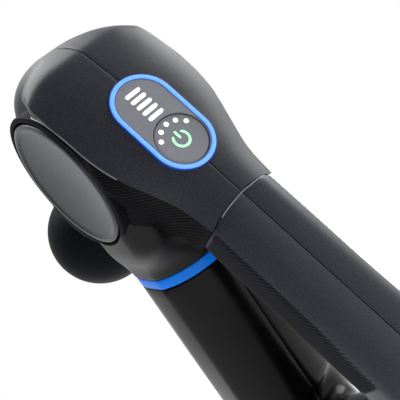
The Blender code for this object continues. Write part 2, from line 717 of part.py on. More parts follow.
# Nose ring, guide bush and piston
bush_outer = SHAFT_RADIUS + CLEARANCE + BUSH_WALL
turned("guide_bush", ring_profile(SHAFT_RADIUS + CLEARANCE, bush_outer, BUSH_START, NOSE_REACH), BRONZE,
       ALONG_X, 32)
ring_start = NOSE_REACH + CLEARANCE
ring_end = ring_start + NOSE_RING_LENGTH
turned("nose_ring", [
    (NOSE_TIP_RADIUS - 2.5 * MM, ring_end), (NOSE_TIP_RADIUS - 0.5 * MM, ring_end - 1.5 * MM),
    (NOSE_TIP_RADIUS - 0.5 * MM, ring_start), (SHAFT_RADIUS + CLEARANCE, ring_start),
    (SHAFT_RADIUS + CLEARANCE, ring_end)], HOLDER_BLACK, ALONG_X, 32)

wrist = ROD_LENGTH - CRANK_ARM
shaft = turned("piston_shaft", [
    (0, SHAFT_END + SPIGOT_LENGTH), (SPIGOT_RADIUS - 1 * MM, SHAFT_END + SPIGOT_LENGTH),
    (SPIGOT_RADIUS, SHAFT_END + SPIGOT_LENGTH - 1 * MM), (SPIGOT_RADIUS, SHAFT_END),
    (SHAFT_RADIUS - 0.6 * MM, SHAFT_END), (SHAFT_RADIUS, SHAFT_END - 0.6 * MM),
    (SHAFT_RADIUS, wrist - SHAFT_RADIUS), (0, wrist - SHAFT_RADIUS)], STEEL, ALONG_X, 32)
flat = piece("tongue_flat", box_mesh("tongue_flat", (0, -REACH, -REACH), (ROUND_SHAFT_START, TONGUE_FACE, REACH)))
pin_hole = turned("wrist_hole", rod_profile(WRIST_PIN_RADIUS + CLEARANCE, 0, SHAFT_RADIUS + 1 * MM),
                  steps=20, place=(wrist, 0, 0))
boolean(shaft, "DIFFERENCE", flat, pin_hole)
turned("wrist_pin", rod_profile(WRIST_PIN_RADIUS, TONGUE_FACE, SHAFT_RADIUS - 0.5 * MM), STEEL, steps=20,
       place=(wrist, 0, 0))


# Crank and connecting rod
def rod_mesh(name):
    """The rod's outline: two round ends joined by a straight bar."""
    lean = math.degrees(math.asin(ROD_BAR_WIDTH / 2 / ROD_BIG_END))
    lean_small = math.degrees(math.asin(ROD_BAR_WIDTH / 2 / ROD_SMALL_END))
    outline = arc((0, 0), ROD_BIG_END, lean, 360 - lean, 25)
    outline += arc((ROD_LENGTH, 0), ROD_SMALL_END, lean_small - 180, 180 - lean_small, 15)
    return prism_mesh(name, outline, -ROD_HALF, ROD_HALF, Vector((1, 0, 0)), Vector((0, 0, 1)))


connecting_rod = piece("connecting_rod", rod_mesh("connecting_rod"), ALUMINIUM, crank_pin_axis)
big_eye = turned("big_eye", rod_profile(ROD_BEARING_RADIUS + CLEARANCE, -1, 1), steps=32, parent=crank_pin_axis)
small_eye = turned("small_eye", rod_profile(WRIST_PIN_RADIUS + CLEARANCE, -1, 1), steps=20,
                   parent=crank_pin_axis, place=(ROD_LENGTH, 0, 0))
boolean(connecting_rod, "DIFFERENCE", big_eye, small_eye)
turned("rod_bearing", ring_profile(CRANK_PIN_RADIUS + CLEARANCE, ROD_BEARING_RADIUS, -ROD_HALF, ROD_HALF), STEEL,
       steps=32, parent=crank_pin_axis)
turned("crank_pin", rod_profile(CRANK_PIN_RADIUS, CRANK_BACK, ROD_HALF), STEEL, steps=24, parent=motor_axis,
       place=(-CRANK_ARM, 0, 0))


def crank_outline():
    """A crank web with a heavy half opposite the pin."""
    heavy = arc((0, 0), CRANK_RADIUS, -80, 80, 21)
    cheek = CRANK_PIN_RADIUS + 2.5 * MM
    return heavy + arc((-CRANK_ARM, 0), cheek, 110, 250, 13)


crank = piece("crank_disc", prism_mesh("crank_disc", crank_outline(), -CRANK_FACE, -CRANK_BACK,
                                       Vector((1, 0, 0)), Vector((0, 0, 1))), CORE_STEEL)
boolean(
    crank, "DIFFERENCE",
    turned("crank_shaft_hole", rod_profile(MOTOR_SHAFT_RADIUS + CLEARANCE, -REACH, REACH), steps=24),
    turned("crank_pin_hole", rod_profile(CRANK_PIN_RADIUS + CLEARANCE, -REACH, REACH), steps=24,
           place=(-CRANK_ARM, 0, 0)),
)


# Motor: fixed mount and stator, turning can and shaft
turned("motor_shaft", rod_profile(MOTOR_SHAFT_RADIUS, MOUNT_FACE, CRANK_FACE), STEEL, steps=24)
can_open = MOUNT_FACE + CLEARANCE + 1 * MM
can_floor = ROTOR_FACE - ROTOR_WALL
turned("motor_rotor", [
    (ROTOR_RADIUS - 1 * MM, ROTOR_FACE), (ROTOR_RADIUS, ROTOR_FACE - 1 * MM), (ROTOR_RADIUS, can_open),
    (ROTOR_RADIUS - ROTOR_WALL, can_open), (ROTOR_RADIUS - ROTOR_WALL, can_floor),
    (MOTOR_SHAFT_RADIUS + CLEARANCE, can_floor), (MOTOR_SHAFT_RADIUS + CLEARANCE, ROTOR_FACE)],
    CORE_STEEL, steps=40)
hub_end = can_floor - 1 * MM
mount_back = MOUNT_FACE - MOUNT_THICKNESS
turned("motor_mount", [
    (HUB_RADIUS, hub_end), (HUB_RADIUS, MOUNT_FACE), (BORE_RADIUS - CLEARANCE, MOUNT_FACE),
    (BORE_RADIUS - CLEARANCE, mount_back), (BEARING_RADIUS + CLEARANCE, mount_back),
    (BEARING_RADIUS + CLEARANCE, hub_end)], ALUMINIUM, steps=40)
for name, start in (("inner", hub_end - BEARING_WIDTH), ("outer", MOUNT_FACE + CLEARANCE)):
    turned(f"motor_bearing_{name}", ring_profile(
        MOTOR_SHAFT_RADIUS + CLEARANCE, BEARING_RADIUS, start, start + BEARING_WIDTH), STEEL, steps=24)
stator_span = (MOUNT_FACE + 2 * MM, hub_end - 1 * MM)
stator = turned("motor_stator", ring_profile(HUB_RADIUS + CLEARANCE, STATOR_YOKE_RADIUS, *stator_span), BRONZE,
                steps=36)
tooth_tip = ROTOR_RADIUS - ROTOR_WALL - 0.6 * MM
for tooth in range(STATOR_TEETH):
    half = STATOR_TOOTH_WIDTH / 2
    lobe = box_mesh(f"tooth_{tooth + 1}", (STATOR_YOKE_RADIUS - 1 * MM, stator_span[0] + 0.2 * MM, -half),
                    (tooth_tip, stator_span[1] - 0.2 * MM, half))
    boolean(stator, "UNION", piece(f"tooth_{tooth + 1}", lobe, turn=(0, 2 * math.pi * tooth / STATOR_TEETH, 0)))

# Drive board, in the left bore behind its cap
board_back = CAP_SEAT - BOARD_THICKNESS - CLEARANCE
turned("drive_board", ring_profile(4 * MM, BORE_RADIUS - CLEARANCE, board_back, board_back + BOARD_THICKNESS),
       BOARD_GREEN, steps=40)


# Battery pack in the leg
leg_axis = empty("leg_axis", (0, 0, 0), motor_axis)
leg_axis.rotation_euler = LEG_DIRECTION.to_track_quat("Z", "Y").to_euler()
cell_circle = (CELL_RADIUS + CLEARANCE / 2) / math.sin(math.pi / CELL_COUNT)
for cell in range(CELL_COUNT):
    angle = 2 * math.pi * cell / CELL_COUNT
    spot = (cell_circle * math.cos(angle), cell_circle * math.sin(angle), 0)
    turned(f"battery_cell_{cell + 1}", [
        (0, CELLS_END), (CELL_RADIUS - 0.8 * MM, CELLS_END), (CELL_RADIUS, CELLS_END - 0.8 * MM),
        (CELL_RADIUS, CELLS_START + 0.8 * MM), (CELL_RADIUS - 0.8 * MM, CELLS_START), (0, CELLS_START)],
        CELL_BLUE, (0, 0, 0), 24, leg_axis, spot)
holder_radius = min(LEG_DEPTH, LEG_WIDTH) / 2 - WALL - CLEARANCE
for name, start in (("top", HOLDER_START), ("bottom", CELLS_END + CLEARANCE)):
    turned(f"battery_holder_{name}", ring_profile(
        CELL_RADIUS * 0.3, holder_radius, start, start + HOLDER_THICKNESS), HOLDER_BLACK, (0, 0, 0), 36, leg_axis)


# Charging socket in the rear arm
socket = piece("charge_socket", prism_mesh(
    "charge_socket", shifted(rounded_outline(SOCKET_WIDTH / 2, SOCKET_HEIGHT / 2, SOCKET_HEIGHT / 2 - 0.5 * MM),
                             -SOCKET_DROP), -REAR_FACE + 0.2 * MM, -REAR_FACE + SOCKET_DEPTH), HOLDER_BLACK)
slot_outline = rounded_outline(SOCKET_WIDTH / 2 - 1 * MM, SOCKET_SLOT / 2, SOCKET_SLOT / 2 - 0.05 * MM)
boolean(socket, "DIFFERENCE", piece("socket_slot", prism_mesh(
    "socket_slot", shifted(slot_outline, -SOCKET_DROP), -REAR_FACE - 1 * MM, -REAR_FACE + SOCKET_DEPTH - 1.5 * MM)))


# Ball attachment: a foam ball on a stem that pushes over the spigot
stem_start = SHAFT_END + CLEARANCE
turned("ball_stem", [
    (0, STEM_END), (STEM_RADIUS - 1 * MM, STEM_END), (STEM_RADIUS, STEM_END - 1 * MM), (STEM_RADIUS, stem_start),
    (SPIGOT_RADIUS + CLEARANCE, stem_start), (SPIGOT_RADIUS + CLEARANCE, STEM_END - STEM_FLANGE),
    (0, STEM_END - STEM_FLANGE)], HOLDER_BLACK, ALONG_X, 32)
mouth = STEM_RADIUS + CLEARANCE
mouth_angle = math.degrees(math.acos(-math.sqrt(1 - (mouth / BALL_RADIUS) ** 2)))
ball_arc = arc((0, BALL_REACH), BALL_RADIUS, 90, 90 - mouth_angle, 16)
turned("massage_ball", ball_arc + [(mouth, STEM_END + CLEARANCE), (0, STEM_END + CLEARANCE)], FOAM_BLACK,
       ALONG_X, 32)

for made in parts.objects:
    if made.type == "MESH" and made.data.polygons:
        smooth(made)
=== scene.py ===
# %% [markdown]
# # A massage gun, dressed around its CAD parts
#
# The gun is a moulded shell round a crank drive. The shell has a matte hood, ribbed flanks, a smooth
# black leg with a blue band and a lit panel. The CAD parts fix the main sizes and every joint. This
# lesson builds the finer outer skin around them, and then gives every part the finish of its material.

# %% Frame
import json
import math

import bmesh
import bpy
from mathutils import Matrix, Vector


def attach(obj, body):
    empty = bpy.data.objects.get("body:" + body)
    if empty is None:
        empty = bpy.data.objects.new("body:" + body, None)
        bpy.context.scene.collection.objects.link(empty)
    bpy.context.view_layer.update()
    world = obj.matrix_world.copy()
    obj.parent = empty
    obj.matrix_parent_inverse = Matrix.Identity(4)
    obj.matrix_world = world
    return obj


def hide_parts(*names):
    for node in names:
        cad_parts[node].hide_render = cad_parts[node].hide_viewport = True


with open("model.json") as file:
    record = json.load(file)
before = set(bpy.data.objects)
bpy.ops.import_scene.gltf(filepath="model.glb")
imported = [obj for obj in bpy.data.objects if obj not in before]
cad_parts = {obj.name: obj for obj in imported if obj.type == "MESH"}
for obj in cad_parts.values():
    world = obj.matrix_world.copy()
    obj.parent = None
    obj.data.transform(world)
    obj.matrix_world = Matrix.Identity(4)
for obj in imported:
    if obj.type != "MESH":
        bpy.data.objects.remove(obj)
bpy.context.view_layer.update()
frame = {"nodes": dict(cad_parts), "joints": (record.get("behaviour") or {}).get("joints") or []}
bpy.context.scene.view_settings.view_transform = "Standard"

# %% [markdown]
# ## Places and curves
#
# All sizes below are millimetres from the motor's axis, because the head, the leg and the panel were laid
# out from there. A joint of the CAD model says where that axis is. Smooth curves through a few measured
# points give the egg shape of the head.

# %% Places and curves
MM = 0.001
AXIS = Vector(next(j["pos_m"] for j in frame["joints"] if j["name"] == "crank_spin"))
ALONG_X = Vector((1, 0, 0))
ALONG_Y = Vector((0, 1, 0))
ALONG_Z = Vector((0, 0, 1))


def at(point):
    """A point in millimetres from the motor's axis, as a place in the frame."""
    return AXIS + Vector(point) * MM


def straight(points, where):
    """The value at a place on a line of straight stretches through (place, value) points."""
    points = sorted(points)
    if where <= points[0][0]:
        return points[0][1]
    for (low, first), (high, second) in zip(points, points[1:]):
        if where <= high:
            return first + (second - first) * (where - low) / (high - low)
    return points[-1][1]


def smooth(points, where):
    """The value at a place on a smooth curve through (place, value) points."""
    points = sorted(points)
    where = min(max(where, points[0][0]), points[-1][0])
    for index in range(len(points) - 1):
        low, first = points[index]
        high, second = points[index + 1]
        if where <= high:
            before = points[max(index - 1, 0)]
            after = points[min(index + 2, len(points) - 1)]
            span = high - low
            start = (second - before[1]) / (high - before[0]) * span
            end = (after[1] - first) / (after[0] - low) * span
            t = (where - low) / span
            return (first * (2 * t ** 3 - 3 * t ** 2 + 1) + start * (t ** 3 - 2 * t ** 2 + t)
                    + second * (3 * t ** 2 - 2 * t ** 3) + end * (t ** 3 - t ** 2))
    return points[-1][1]


def steps(low, high, count):
    """Evenly spaced values from low to high."""
    return [low + (high - low) * i / (count - 1) for i in range(count)]


def arc(centre, radius, first, last, count):
    """Points along an arc, with angles in degrees; the radius may be a pair for an ellipse."""
    wide, tall = radius if isinstance(radius, tuple) else (radius, radius)
    return [(centre[0] + wide * math.cos(math.radians(a)), centre[1] + tall * math.sin(math.radians(a)))
            for a in steps(first, last, count)]


print("motor axis", tuple(round(value, 4) for value in AXIS))

# %% [markdown]
# ## Tools for modelling
#
# Most of the shell is a section that travels along a path. By hand that is a circle whose points are laid
# on the first section, then extruded from section to section. Round parts are a profile that is spun.
# A hollow tube loses its end faces and gets a wall, and a moulded pair is one form cut along the seam.

# %% Tools for modelling
SIDES = (("left", 1), ("right", -1))
SEAM = 0.3
WALL = 2.5
MERGE_METRES = 0.000002


def select_only(piece):
    """One object selected and active, in object mode."""
    if bpy.context.object and bpy.context.object.mode == "EDIT":
        bpy.ops.object.mode_set(mode="OBJECT")
    bpy.ops.object.select_all(action="DESELECT")
    piece.select_set(True)
    bpy.context.view_layer.objects.active = piece


def edit(piece):
    """Edit mode on one object, with all of it selected."""
    select_only(piece)
    bpy.ops.object.mode_set(mode="EDIT")
    bpy.ops.mesh.select_all(action="SELECT")


def leave():
    """Doubles merged, faces turned outwards, and back to object mode."""
    bpy.ops.mesh.select_all(action="SELECT")
    bpy.ops.mesh.remove_doubles(threshold=MERGE_METRES)
    bpy.ops.mesh.delete_loose(use_verts=True, use_edges=True, use_faces=False)
    bpy.ops.mesh.select_all(action="SELECT")
    bpy.ops.mesh.normals_make_consistent(inside=False)
    bpy.ops.object.mode_set(mode="OBJECT")


def circle_on(name, points, filled):
    """A circle with its points laid on the given places, left in edit mode."""
    bpy.ops.object.select_all(action="DESELECT")
    bpy.ops.mesh.primitive_circle_add(vertices=len(points), fill_type="NGON" if filled else "NOTHING")
    piece = bpy.context.object
    piece.name = name
    piece.data.name = name
    edit(piece)
    form = bmesh.from_edit_mesh(piece.data)
    for vert, point in zip(form.verts, points):
        vert.co = at(point)
    bmesh.update_edit_mesh(piece.data)
    return piece


def loft(name, rings, closed=False):
    """A circle laid on the first ring and extruded through the others; closed joins the two ends."""
    piece = circle_on(name, rings[0], not closed)
    row = list(range(len(rings[0])))
    for ring in rings[1:]:
        bpy.ops.mesh.extrude_region_move()
        form = bmesh.from_edit_mesh(piece.data)
        form.verts.ensure_lookup_table()
        form.verts.index_update()
        following = []
        for index, point in zip(row, ring):
            corner = form.verts[index]
            reached = [edge.other_vert(corner) for edge in corner.link_edges]
            fresh = next(vert for vert in reached if vert.select)
            fresh.co = at(point)
            following.append(fresh.index)
        bmesh.update_edit_mesh(piece.data)
        row = following
    leave()
    return piece


def turn(name, profile, axis, count=96, middle=(0, 0, 0)):
    """A closed profile of (radius, reach) points spun about an axis through the middle."""
    points = [Vector(middle) + axis * reach + ALONG_Z * radius for radius, reach in profile]
    piece = circle_on(name, points, False)
    bpy.ops.mesh.spin(steps=count, angle=2 * math.pi, center=at(middle), axis=axis)
    leave()
    return piece


def bead_along(name, path, up, radius, closed=False):
    """A thin round bead along a path of points, with one direction held up."""
    rings = []
    count = len(path)
    for index in range(count):
        before = path[(index - 1) % count if closed else max(index - 1, 0)]
        after = path[(index + 1) % count if closed else min(index + 1, count - 1)]
        side = (Vector(after) - Vector(before)).cross(up).normalized()
        rings.append([Vector(path[index]) + up * (radius * a) + side * (radius * b)
                      for a, b in arc((0, 0), 1, 0, 315, 8)])
    return loft(name, rings + rings[:1] if closed else rings, closed)


def apply_modifier(piece, kind, **settings):
    """A modifier added, set and applied."""
    select_only(piece)
    step = piece.modifiers.new(kind, kind)
    for name, value in settings.items():
        setattr(step, name, value)
    bpy.ops.object.modifier_apply(modifier=step.name)


def hollow(piece, wall=WALL):
    """The end faces taken away and the skin given a wall on its inner side."""
    edit(piece)
    bpy.ops.mesh.select_all(action="DESELECT")
    bpy.ops.mesh.select_mode(type="FACE")
    bpy.ops.mesh.select_face_by_sides(number=4, type="GREATER")
    bpy.ops.mesh.delete(type="FACE")
    bpy.ops.mesh.select_mode(type="VERT")
    leave()
    apply_modifier(piece, "SOLIDIFY", thickness=wall * MM, offset=-1)


def cut(piece, *cutters):
    """Cutters taken out of a piece and thrown away."""
    for cutter in cutters:
        apply_modifier(piece, "BOOLEAN", operation="DIFFERENCE", object=cutter, solver="EXACT")
        bpy.data.objects.remove(cutter)


def halves(piece, soften=0.25):
    """A form cut along the centre seam into a left and a right half with softened edges."""
    made = []
    for word, side in SIDES:
        half = piece.copy()
        half.data = piece.data.copy()
        half.name = f"{piece.name}_{word}"
        half.data.name = half.name
        bpy.context.scene.collection.objects.link(half)
        edit(half)
        bpy.ops.mesh.bisect(plane_co=(0, side * SEAM / 2 * MM, 0), plane_no=(0, -side, 0),
                            use_fill=True, clear_outer=True)
        if soften:
            bpy.ops.mesh.bevel(offset=soften * MM, segments=2, affect="EDGES")
        leave()
        made.append(half)
    bpy.data.objects.remove(piece)
    return made


def dress(piece, material, body, slot, *nodes, angle=35):
    """The last step for a piece: smooth faces, its material, its body, and the CAD parts it stands for."""
    select_only(piece)
    bpy.ops.object.shade_smooth_by_angle(angle=math.radians(angle))
    piece.data.materials.clear()
    piece.data.materials.append(material)
    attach(piece, body)
    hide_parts(*nodes)
    print(piece.name, len(piece.data.polygons), "faces")


def dress_halves(piece, material, slot, node, soften=0.25):
    """A form cut along the seam, with each half dressed for the CAD part of its side."""
    for half, word in zip(halves(piece, soften), ("left", "right")):
        dress(half, material, "housing", slot, f"{node}_{word}")


print("shell wall", WALL, "mm, seam", SEAM, "mm")

# %% [markdown]
# ## Tools for materials
#
# Colours are written as sRGB hex values, as a colour chart gives them, and turned to linear light once.
# Every finish reads Object coordinates, which are metres here, so a grain of 0.4 mm has a scale of
# one over 0.4 mm.

# %% Tools for materials
BROAD_GRAIN = 40
NOISE_LOW, NOISE_HIGH = 0.3, 0.7


def hex_colour(code):
    """An sRGB hex value as linear red, green, blue and a full alpha."""
    shares = [int(code[i:i + 2], 16) / 255 for i in (1, 3, 5)]
    linear = [s / 12.92 if s <= 0.04045 else ((s + 0.055) / 1.055) ** 2.4 for s in shares]
    return (*linear, 1)


def add_node(tree, kind, inputs=None, **settings):
    """A node with its settings; an input is a value or another node's socket."""
    node = tree.nodes.new(kind)
    for name, value in settings.items():
        setattr(node, name, value)
    for name, value in (inputs or {}).items():
        if isinstance(value, bpy.types.NodeSocket):
            tree.links.new(value, node.inputs[name])
        else:
            node.inputs[name].default_value = value
    return node


def surface(name, dark, light, grain, bump, roughness, spread=0.0, **sockets):
    """A finish of two close tones in a grain of a real size, with a matching bump and roughness."""
    made = bpy.data.materials.new(name)
    made.use_nodes = True
    tree = made.node_tree
    shader = tree.nodes["Principled BSDF"]
    place = add_node(tree, "ShaderNodeTexCoord").outputs["Object"]
    noise = add_node(tree, "ShaderNodeTexNoise", {
        "Vector": place, "Scale": 1 / (grain * MM), "Detail": 3.0})
    broad = add_node(tree, "ShaderNodeTexNoise", {
        "Vector": place, "Scale": 1 / (BROAD_GRAIN * MM), "Detail": 2.0})
    grains = add_node(tree, "ShaderNodeMapRange", {
        "Value": noise.outputs["Fac"], "From Min": NOISE_LOW, "From Max": NOISE_HIGH})
    tone = add_node(tree, "ShaderNodeMix", {"Factor": grains.outputs["Result"]}, data_type="RGBA")
    tone.inputs[6].default_value = hex_colour(dark)
    tone.inputs[7].default_value = hex_colour(light)
    tree.links.new(tone.outputs[2], shader.inputs["Base Color"])
    gloss = add_node(tree, "ShaderNodeMapRange", {
        "Value": broad.outputs["Fac"], "From Min": NOISE_LOW, "From Max": NOISE_HIGH,
        "To Min": roughness - spread, "To Max": roughness + spread})
    tree.links.new(gloss.outputs["Result"], shader.inputs["Roughness"])
    if bump:
        relief = add_node(tree, "ShaderNodeBump", {
            "Height": noise.outputs["Fac"], "Distance": bump * MM, "Strength": 1.0})
        tree.links.new(relief.outputs["Normal"], shader.inputs["Normal"])
    for socket, value in sockets.items():
        shader.inputs[socket.replace("_", " ")].default_value = value
    return made


def lit(name, dark, light, glow, strength, roughness=0.4):
    """A frosted acrylic light guide, lit from behind."""
    return surface(name, dark, light, 2.0, 0.0, roughness, 0.02,
                   Emission_Color=hex_colour(glow), Emission_Strength=strength, IOR=1.49)


print("linear value of a mid grey", round(hex_colour("#808080")[0], 3))

# %% [markdown]
# ## Moulded finishes
#
# The hood and the arm carry a soft-touch coat, which scatters light and shows a fine speckle. The leg is
# smooth and black, and reflects the room softly. The caps are satin, and the band and the light guides
# are coloured through.

# %% Moulded finishes
# Soft-touch paint over ABS: dark charcoal, nearly without gloss, with a fine sparkle in its grain.
soft_touch = surface("soft_touch_paint", "#1a1c21", "#30333b", 0.45, 0.03, 0.44, 0.04,
                     Sheen_Weight=0.03, Sheen_Roughness=0.5, Specular_IOR_Level=0.2)
# Painted highlight: the same paint in a light grey with a satin gloss, on thin beads along the moulded
# edges, in place of the light those edges catch.
painted_highlight_edge = surface("soft_touch_painted_highlight", "#6a6b70", "#75767c", 1.0, 0.0, 0.3, 0.03,
                    Specular_IOR_Level=0.7)
# Bare textured ABS: blacker than the paint, with a low sheen, on the ribs and the flanks.
bare_abs = surface("bare_black_abs", "#09090b", "#0f0f12", 0.6, 0.012, 0.6, 0.05,
                   Specular_IOR_Level=0.03)
# The arm's ribs are the same plastic, with a cool grey cast.
ribbed_abs = surface("ribbed_grey_abs", "#14151a", "#1c1d24", 0.6, 0.012, 0.55, 0.05,
                     Specular_IOR_Level=0.08)
# The leg's root is the same plastic with a satin polish.
satin_abs = surface("satin_black_abs", "#0b0b0d", "#111113", 2.0, 0.01, 0.34, 0.04,
                    Specular_IOR_Level=0.13)
# Smooth ABS of the leg: black, with soft reflections and the faint waviness of a mould.
polished_abs = surface("polished_black_abs", "#040405", "#070708", 6.0, 0.008, 0.24, 0.03,
                       Specular_IOR_Level=0.1)
# Satin ABS cap: spark-eroded, so it spreads a highlight over the whole disc.
satin_cap = surface("satin_grey_abs", "#1d2026", "#23262d", 0.5, 0.006, 0.28, 0.03,
                    Specular_IOR_Level=0.2)
# Blue ABS, coloured through and glossy.
band_blue = surface("blue_abs", "#0076ea", "#007ef4", 3.0, 0.0, 0.3, 0.03, Specular_IOR_Level=0.15)
# Smoked polycarbonate with a satin face, in front of the lights.
panel_face = surface("satin_panel_polycarbonate", "#77787f", "#81828a", 0.5, 0.006, 0.4, 0.04, IOR=1.58)
# Frosted light guides in blue, white and green.
lit_blue = lit("lit_blue_acrylic", "#5f9ff5", "#6ba8fa", "#6fa8ff", 0.45)
# Painted shade: a deep blue, dimly glowing edge of the same guide, in place of the shaded sides of the
# ring.
painted_shade_blue = lit("painted_shade_blue_acrylic", "#0a3a94", "#0d429f", "#0a47b4", 0.25, 0.35)
lit_white = lit("lit_white_acrylic", "#f0f2f5", "#ffffff", "#ffffff", 0.9)
lit_green = lit("lit_green_acrylic", "#9fecb4", "#aaf5be", "#9df2b5", 0.7)
# Black nylon of the nose ring, the stem, the socket and the battery holders.
black_nylon = surface("black_nylon", "#101012", "#1a1a1c", 0.8, 0.02, 0.5, 0.05, IOR=1.53)
# Closed-cell foam with a moulded skin: very dark, dull and finely pitted.
foam_skin = surface("moulded_foam_skin", "#0a0b0f", "#15171c", 0.9, 0.06, 0.5, 0.05,
                    Specular_IOR_Level=0.03)

print("moulded finishes from", soft_touch.name, "to", foam_skin.name)

# %% [markdown]
# ## Metals and boards inside
#
# Nothing inside shows in the photograph, but a part of a library is also opened, so every inner piece
# gets the finish of its real material.

# %% Metals and boards inside
# Ground steel: bright, with very fine scratches.
ground_steel = surface("ground_steel", "#b9babd", "#c9cacd", 0.3, 0.004, 0.26, 0.04, Metallic=1.0)
# Machined aluminium: paler and softer than steel.
machined_aluminium = surface("machined_aluminium", "#c4c5c9", "#d4d5d8", 0.5, 0.006, 0.34, 0.05,
                             Metallic=1.0)
# Sintered bronze: a dull gold of pressed grains.
sintered_bronze = surface("sintered_bronze", "#a5854f", "#bd9a5f", 0.35, 0.02, 0.42, 0.05, Metallic=1.0)
# Enamelled copper wire, in fine turns.
copper_wire = surface("enamelled_copper_wire", "#9c5a31", "#c4794a", 0.6, 0.05, 0.35, 0.05,
                      Metallic=1.0)
# Blackened core steel of the rotor and the crank.
core_steel = surface("blackened_steel", "#5b5c60", "#6c6d71", 0.6, 0.01, 0.45, 0.06, Metallic=1.0)
# Green solder mask over glass fibre.
solder_mask = surface("green_solder_mask", "#0f4a26", "#15582f", 1.2, 0.008, 0.38, 0.05, IOR=1.55)
# Blue heat-shrink sleeve on the cells.
cell_sleeve = surface("blue_shrink_sleeve", "#20517f", "#285c8d", 2.5, 0.01, 0.4, 0.05, IOR=1.5)

kept = {
    panel_face: ("panel_plate", "power_button"),
    lit_white: ("battery_light_guide", "speed_dots"),
    lit_green: ("power_icon",),
    black_nylon: ("tact_switch", "charge_socket", "battery_holder_top", "battery_holder_bottom"),
    ground_steel: ("piston_shaft", "wrist_pin", "rod_bearing", "crank_pin", "motor_shaft",
                   "motor_bearing_inner", "motor_bearing_outer"),
    machined_aluminium: ("connecting_rod", "motor_mount"),
    sintered_bronze: ("guide_bush",),
    copper_wire: ("motor_stator",),
    core_steel: ("crank_disc", "motor_rotor"),
    solder_mask: ("control_board", "drive_board"),
    cell_sleeve: ("battery_cell_1", "battery_cell_2", "battery_cell_3"),
}
for material, names in kept.items():
    for name in names:
        frame["nodes"][name].material_slots[0].material = material
print("CAD parts with a finish", sum(len(names) for names in kept.values()))

# %% [markdown]
# ## The head's outline
#
# Seen from behind, the head is an egg: narrow at the crown, widest beside the motor, and drawn in to the
# arm below. The line of its back runs straight up from the arm, leans forward above the panel, and turns
# over at a soft crease into the round crown.

# %% The head's outline
REAR = -41.0
NECK_END = -58.0
BOSS_RADIUS = 33.3
FLANK_STEP = 1.2
ARM_HALF = 17.5
BACK_PROBE = 0.4
HEAD_WIDTHS = ((28, 22), (16, 27), (8, 30), (-10, 30), (-22, 27.6), (-34, 23.3), (-46, 19.1), (-58, 17.5))
BACK = ((40.5, 20), (38, 27.5), (33.5, 34.8), (27, 41.2), (18, 46.5), (8, 49.6), (0, 49.6), (-8, 47.6),
        (-15, 44.6), (-21, 41.4), (-27, 37.4), (-31.2, 33.5), (-35.1, 29), (-37.1, 26.1), (-38, 23.4),
        (-38.7, 19), (-39.4, 14), (-40.1, 8), (-40.8, 2), (-41, -6), (-41, -20), (-41, -40),
        (-41, NECK_END))
ways = [0]
for start, end in zip(BACK, BACK[1:]):
    ways.append(ways[-1] + math.dist(start, end))
BACK_X = [(way, point[0]) for way, point in zip(ways, BACK)]
BACK_Z = [(way, point[1]) for way, point in zip(ways, BACK)]


def half_width(height):
    return smooth(HEAD_WIDTHS, height)


def back_point(way):
    """The point in the centre plane after a way along the back, which starts in front of the crown."""
    return Vector((smooth(BACK_X, way), 0, smooth(BACK_Z, way)))


def back_outwards(way):
    """The direction that faces outwards there."""
    run = (back_point(way + BACK_PROBE) - back_point(way - BACK_PROBE)).normalized()
    return Vector((run.z, 0, -run.x))


print("head half width at the motor", round(half_width(0), 1), "mm")

# %% [markdown]
# ## The hood
#
# The hood is a thick matte skin that wraps the crown and the back and ends in a lip over the ribbed flanks.
# One closed band is its section. The band is extruded along the line of the back, and a pocket for the
# panel is cut into it. Then it is cut along the moulding seam.

# %% The hood
HOOD_WIDTHS = ((0, 24), (25, 22), (50, 20), (67, 18), (76.5, 18.4), (84, 20.2), (92.5, 24), (101.5, 26.4),
               (110, 28), (118, 30), (136, 30), (148, 27.6), (160, 23.3), (172, 19.1), (ways[-1], 17.5))
SHOULDER_ACROSS = (9, 13.5)
SHOULDER_DEEP = (5.4, 10.8)
LIP_DEPTH = 5.5
LIP_BLEND = (4, 26)
LIP_INTO_RIM = 0.4
LIP_BEAD_WAY = 84
LIP_BEAD_END = -24
EDGE_BEAD = 0.3
EDGE_DROP = 5.2
EDGE_POWER = 2.6
CREASE_WAY = 101.4
CREASE_SWEEP = 10
CREASE_REACH = 45
CREASE_HALF = 25
CREASE_POWER = 2.4
CROWN_AHEAD = 25
CROWN_RUN = 40
ARCH_RISE = 1.4
ARCH_FALL = 2.9
ARCH_START = -40
ARCH_RUN = 18
INNER_SHARES = (0.96, 0.9, 0.8, 0.65, 0.4, 0)


def ease(share):
    """A share between 0 and 1 with a soft start and a soft end."""
    share = min(max(share, 0), 1)
    return share * share * (3 - 2 * share)


def seam_arch(across):
    """How far the cross seam to the arm rises in the middle and drops at the sides."""
    return ARCH_RISE - ARCH_FALL * (across / ARM_HALF) ** 2


def lip_depth(way):
    """How deep the hood's side reaches: down to the boss's rim at the top, a shallow lip at the back."""
    point = back_point(way)
    if point.z < LIP_BLEND[0]:
        return LIP_DEPTH
    lean = point.dot(back_outwards(way))
    rim = BOSS_RADIUS - LIP_INTO_RIM
    inside = lean ** 2 - point.length_squared + rim ** 2
    depth = lean - math.sqrt(max(inside, 0))
    share = ease((point.z - LIP_BLEND[0]) / (LIP_BLEND[1] - LIP_BLEND[0]))
    return LIP_DEPTH * (1 - share) + depth * share


def swept(way, across):
    """The crease climbs towards the sides, so a section's sides lie nearer the crown than its middle."""
    near = ease(1 - abs(way - CREASE_WAY) / CREASE_REACH)
    return way - CREASE_SWEEP * near * (abs(across) / CREASE_HALF) ** CREASE_POWER


def hood_place(way, depth, across):
    """A place on the hood's section, with the cross seam's arch at the lower end."""
    way = swept(way, across)
    place = back_point(way) + back_outwards(way) * depth + ALONG_Y * across
    place.z += seam_arch(across) * ease((ARCH_START - place.z) / ARCH_RUN)
    return place


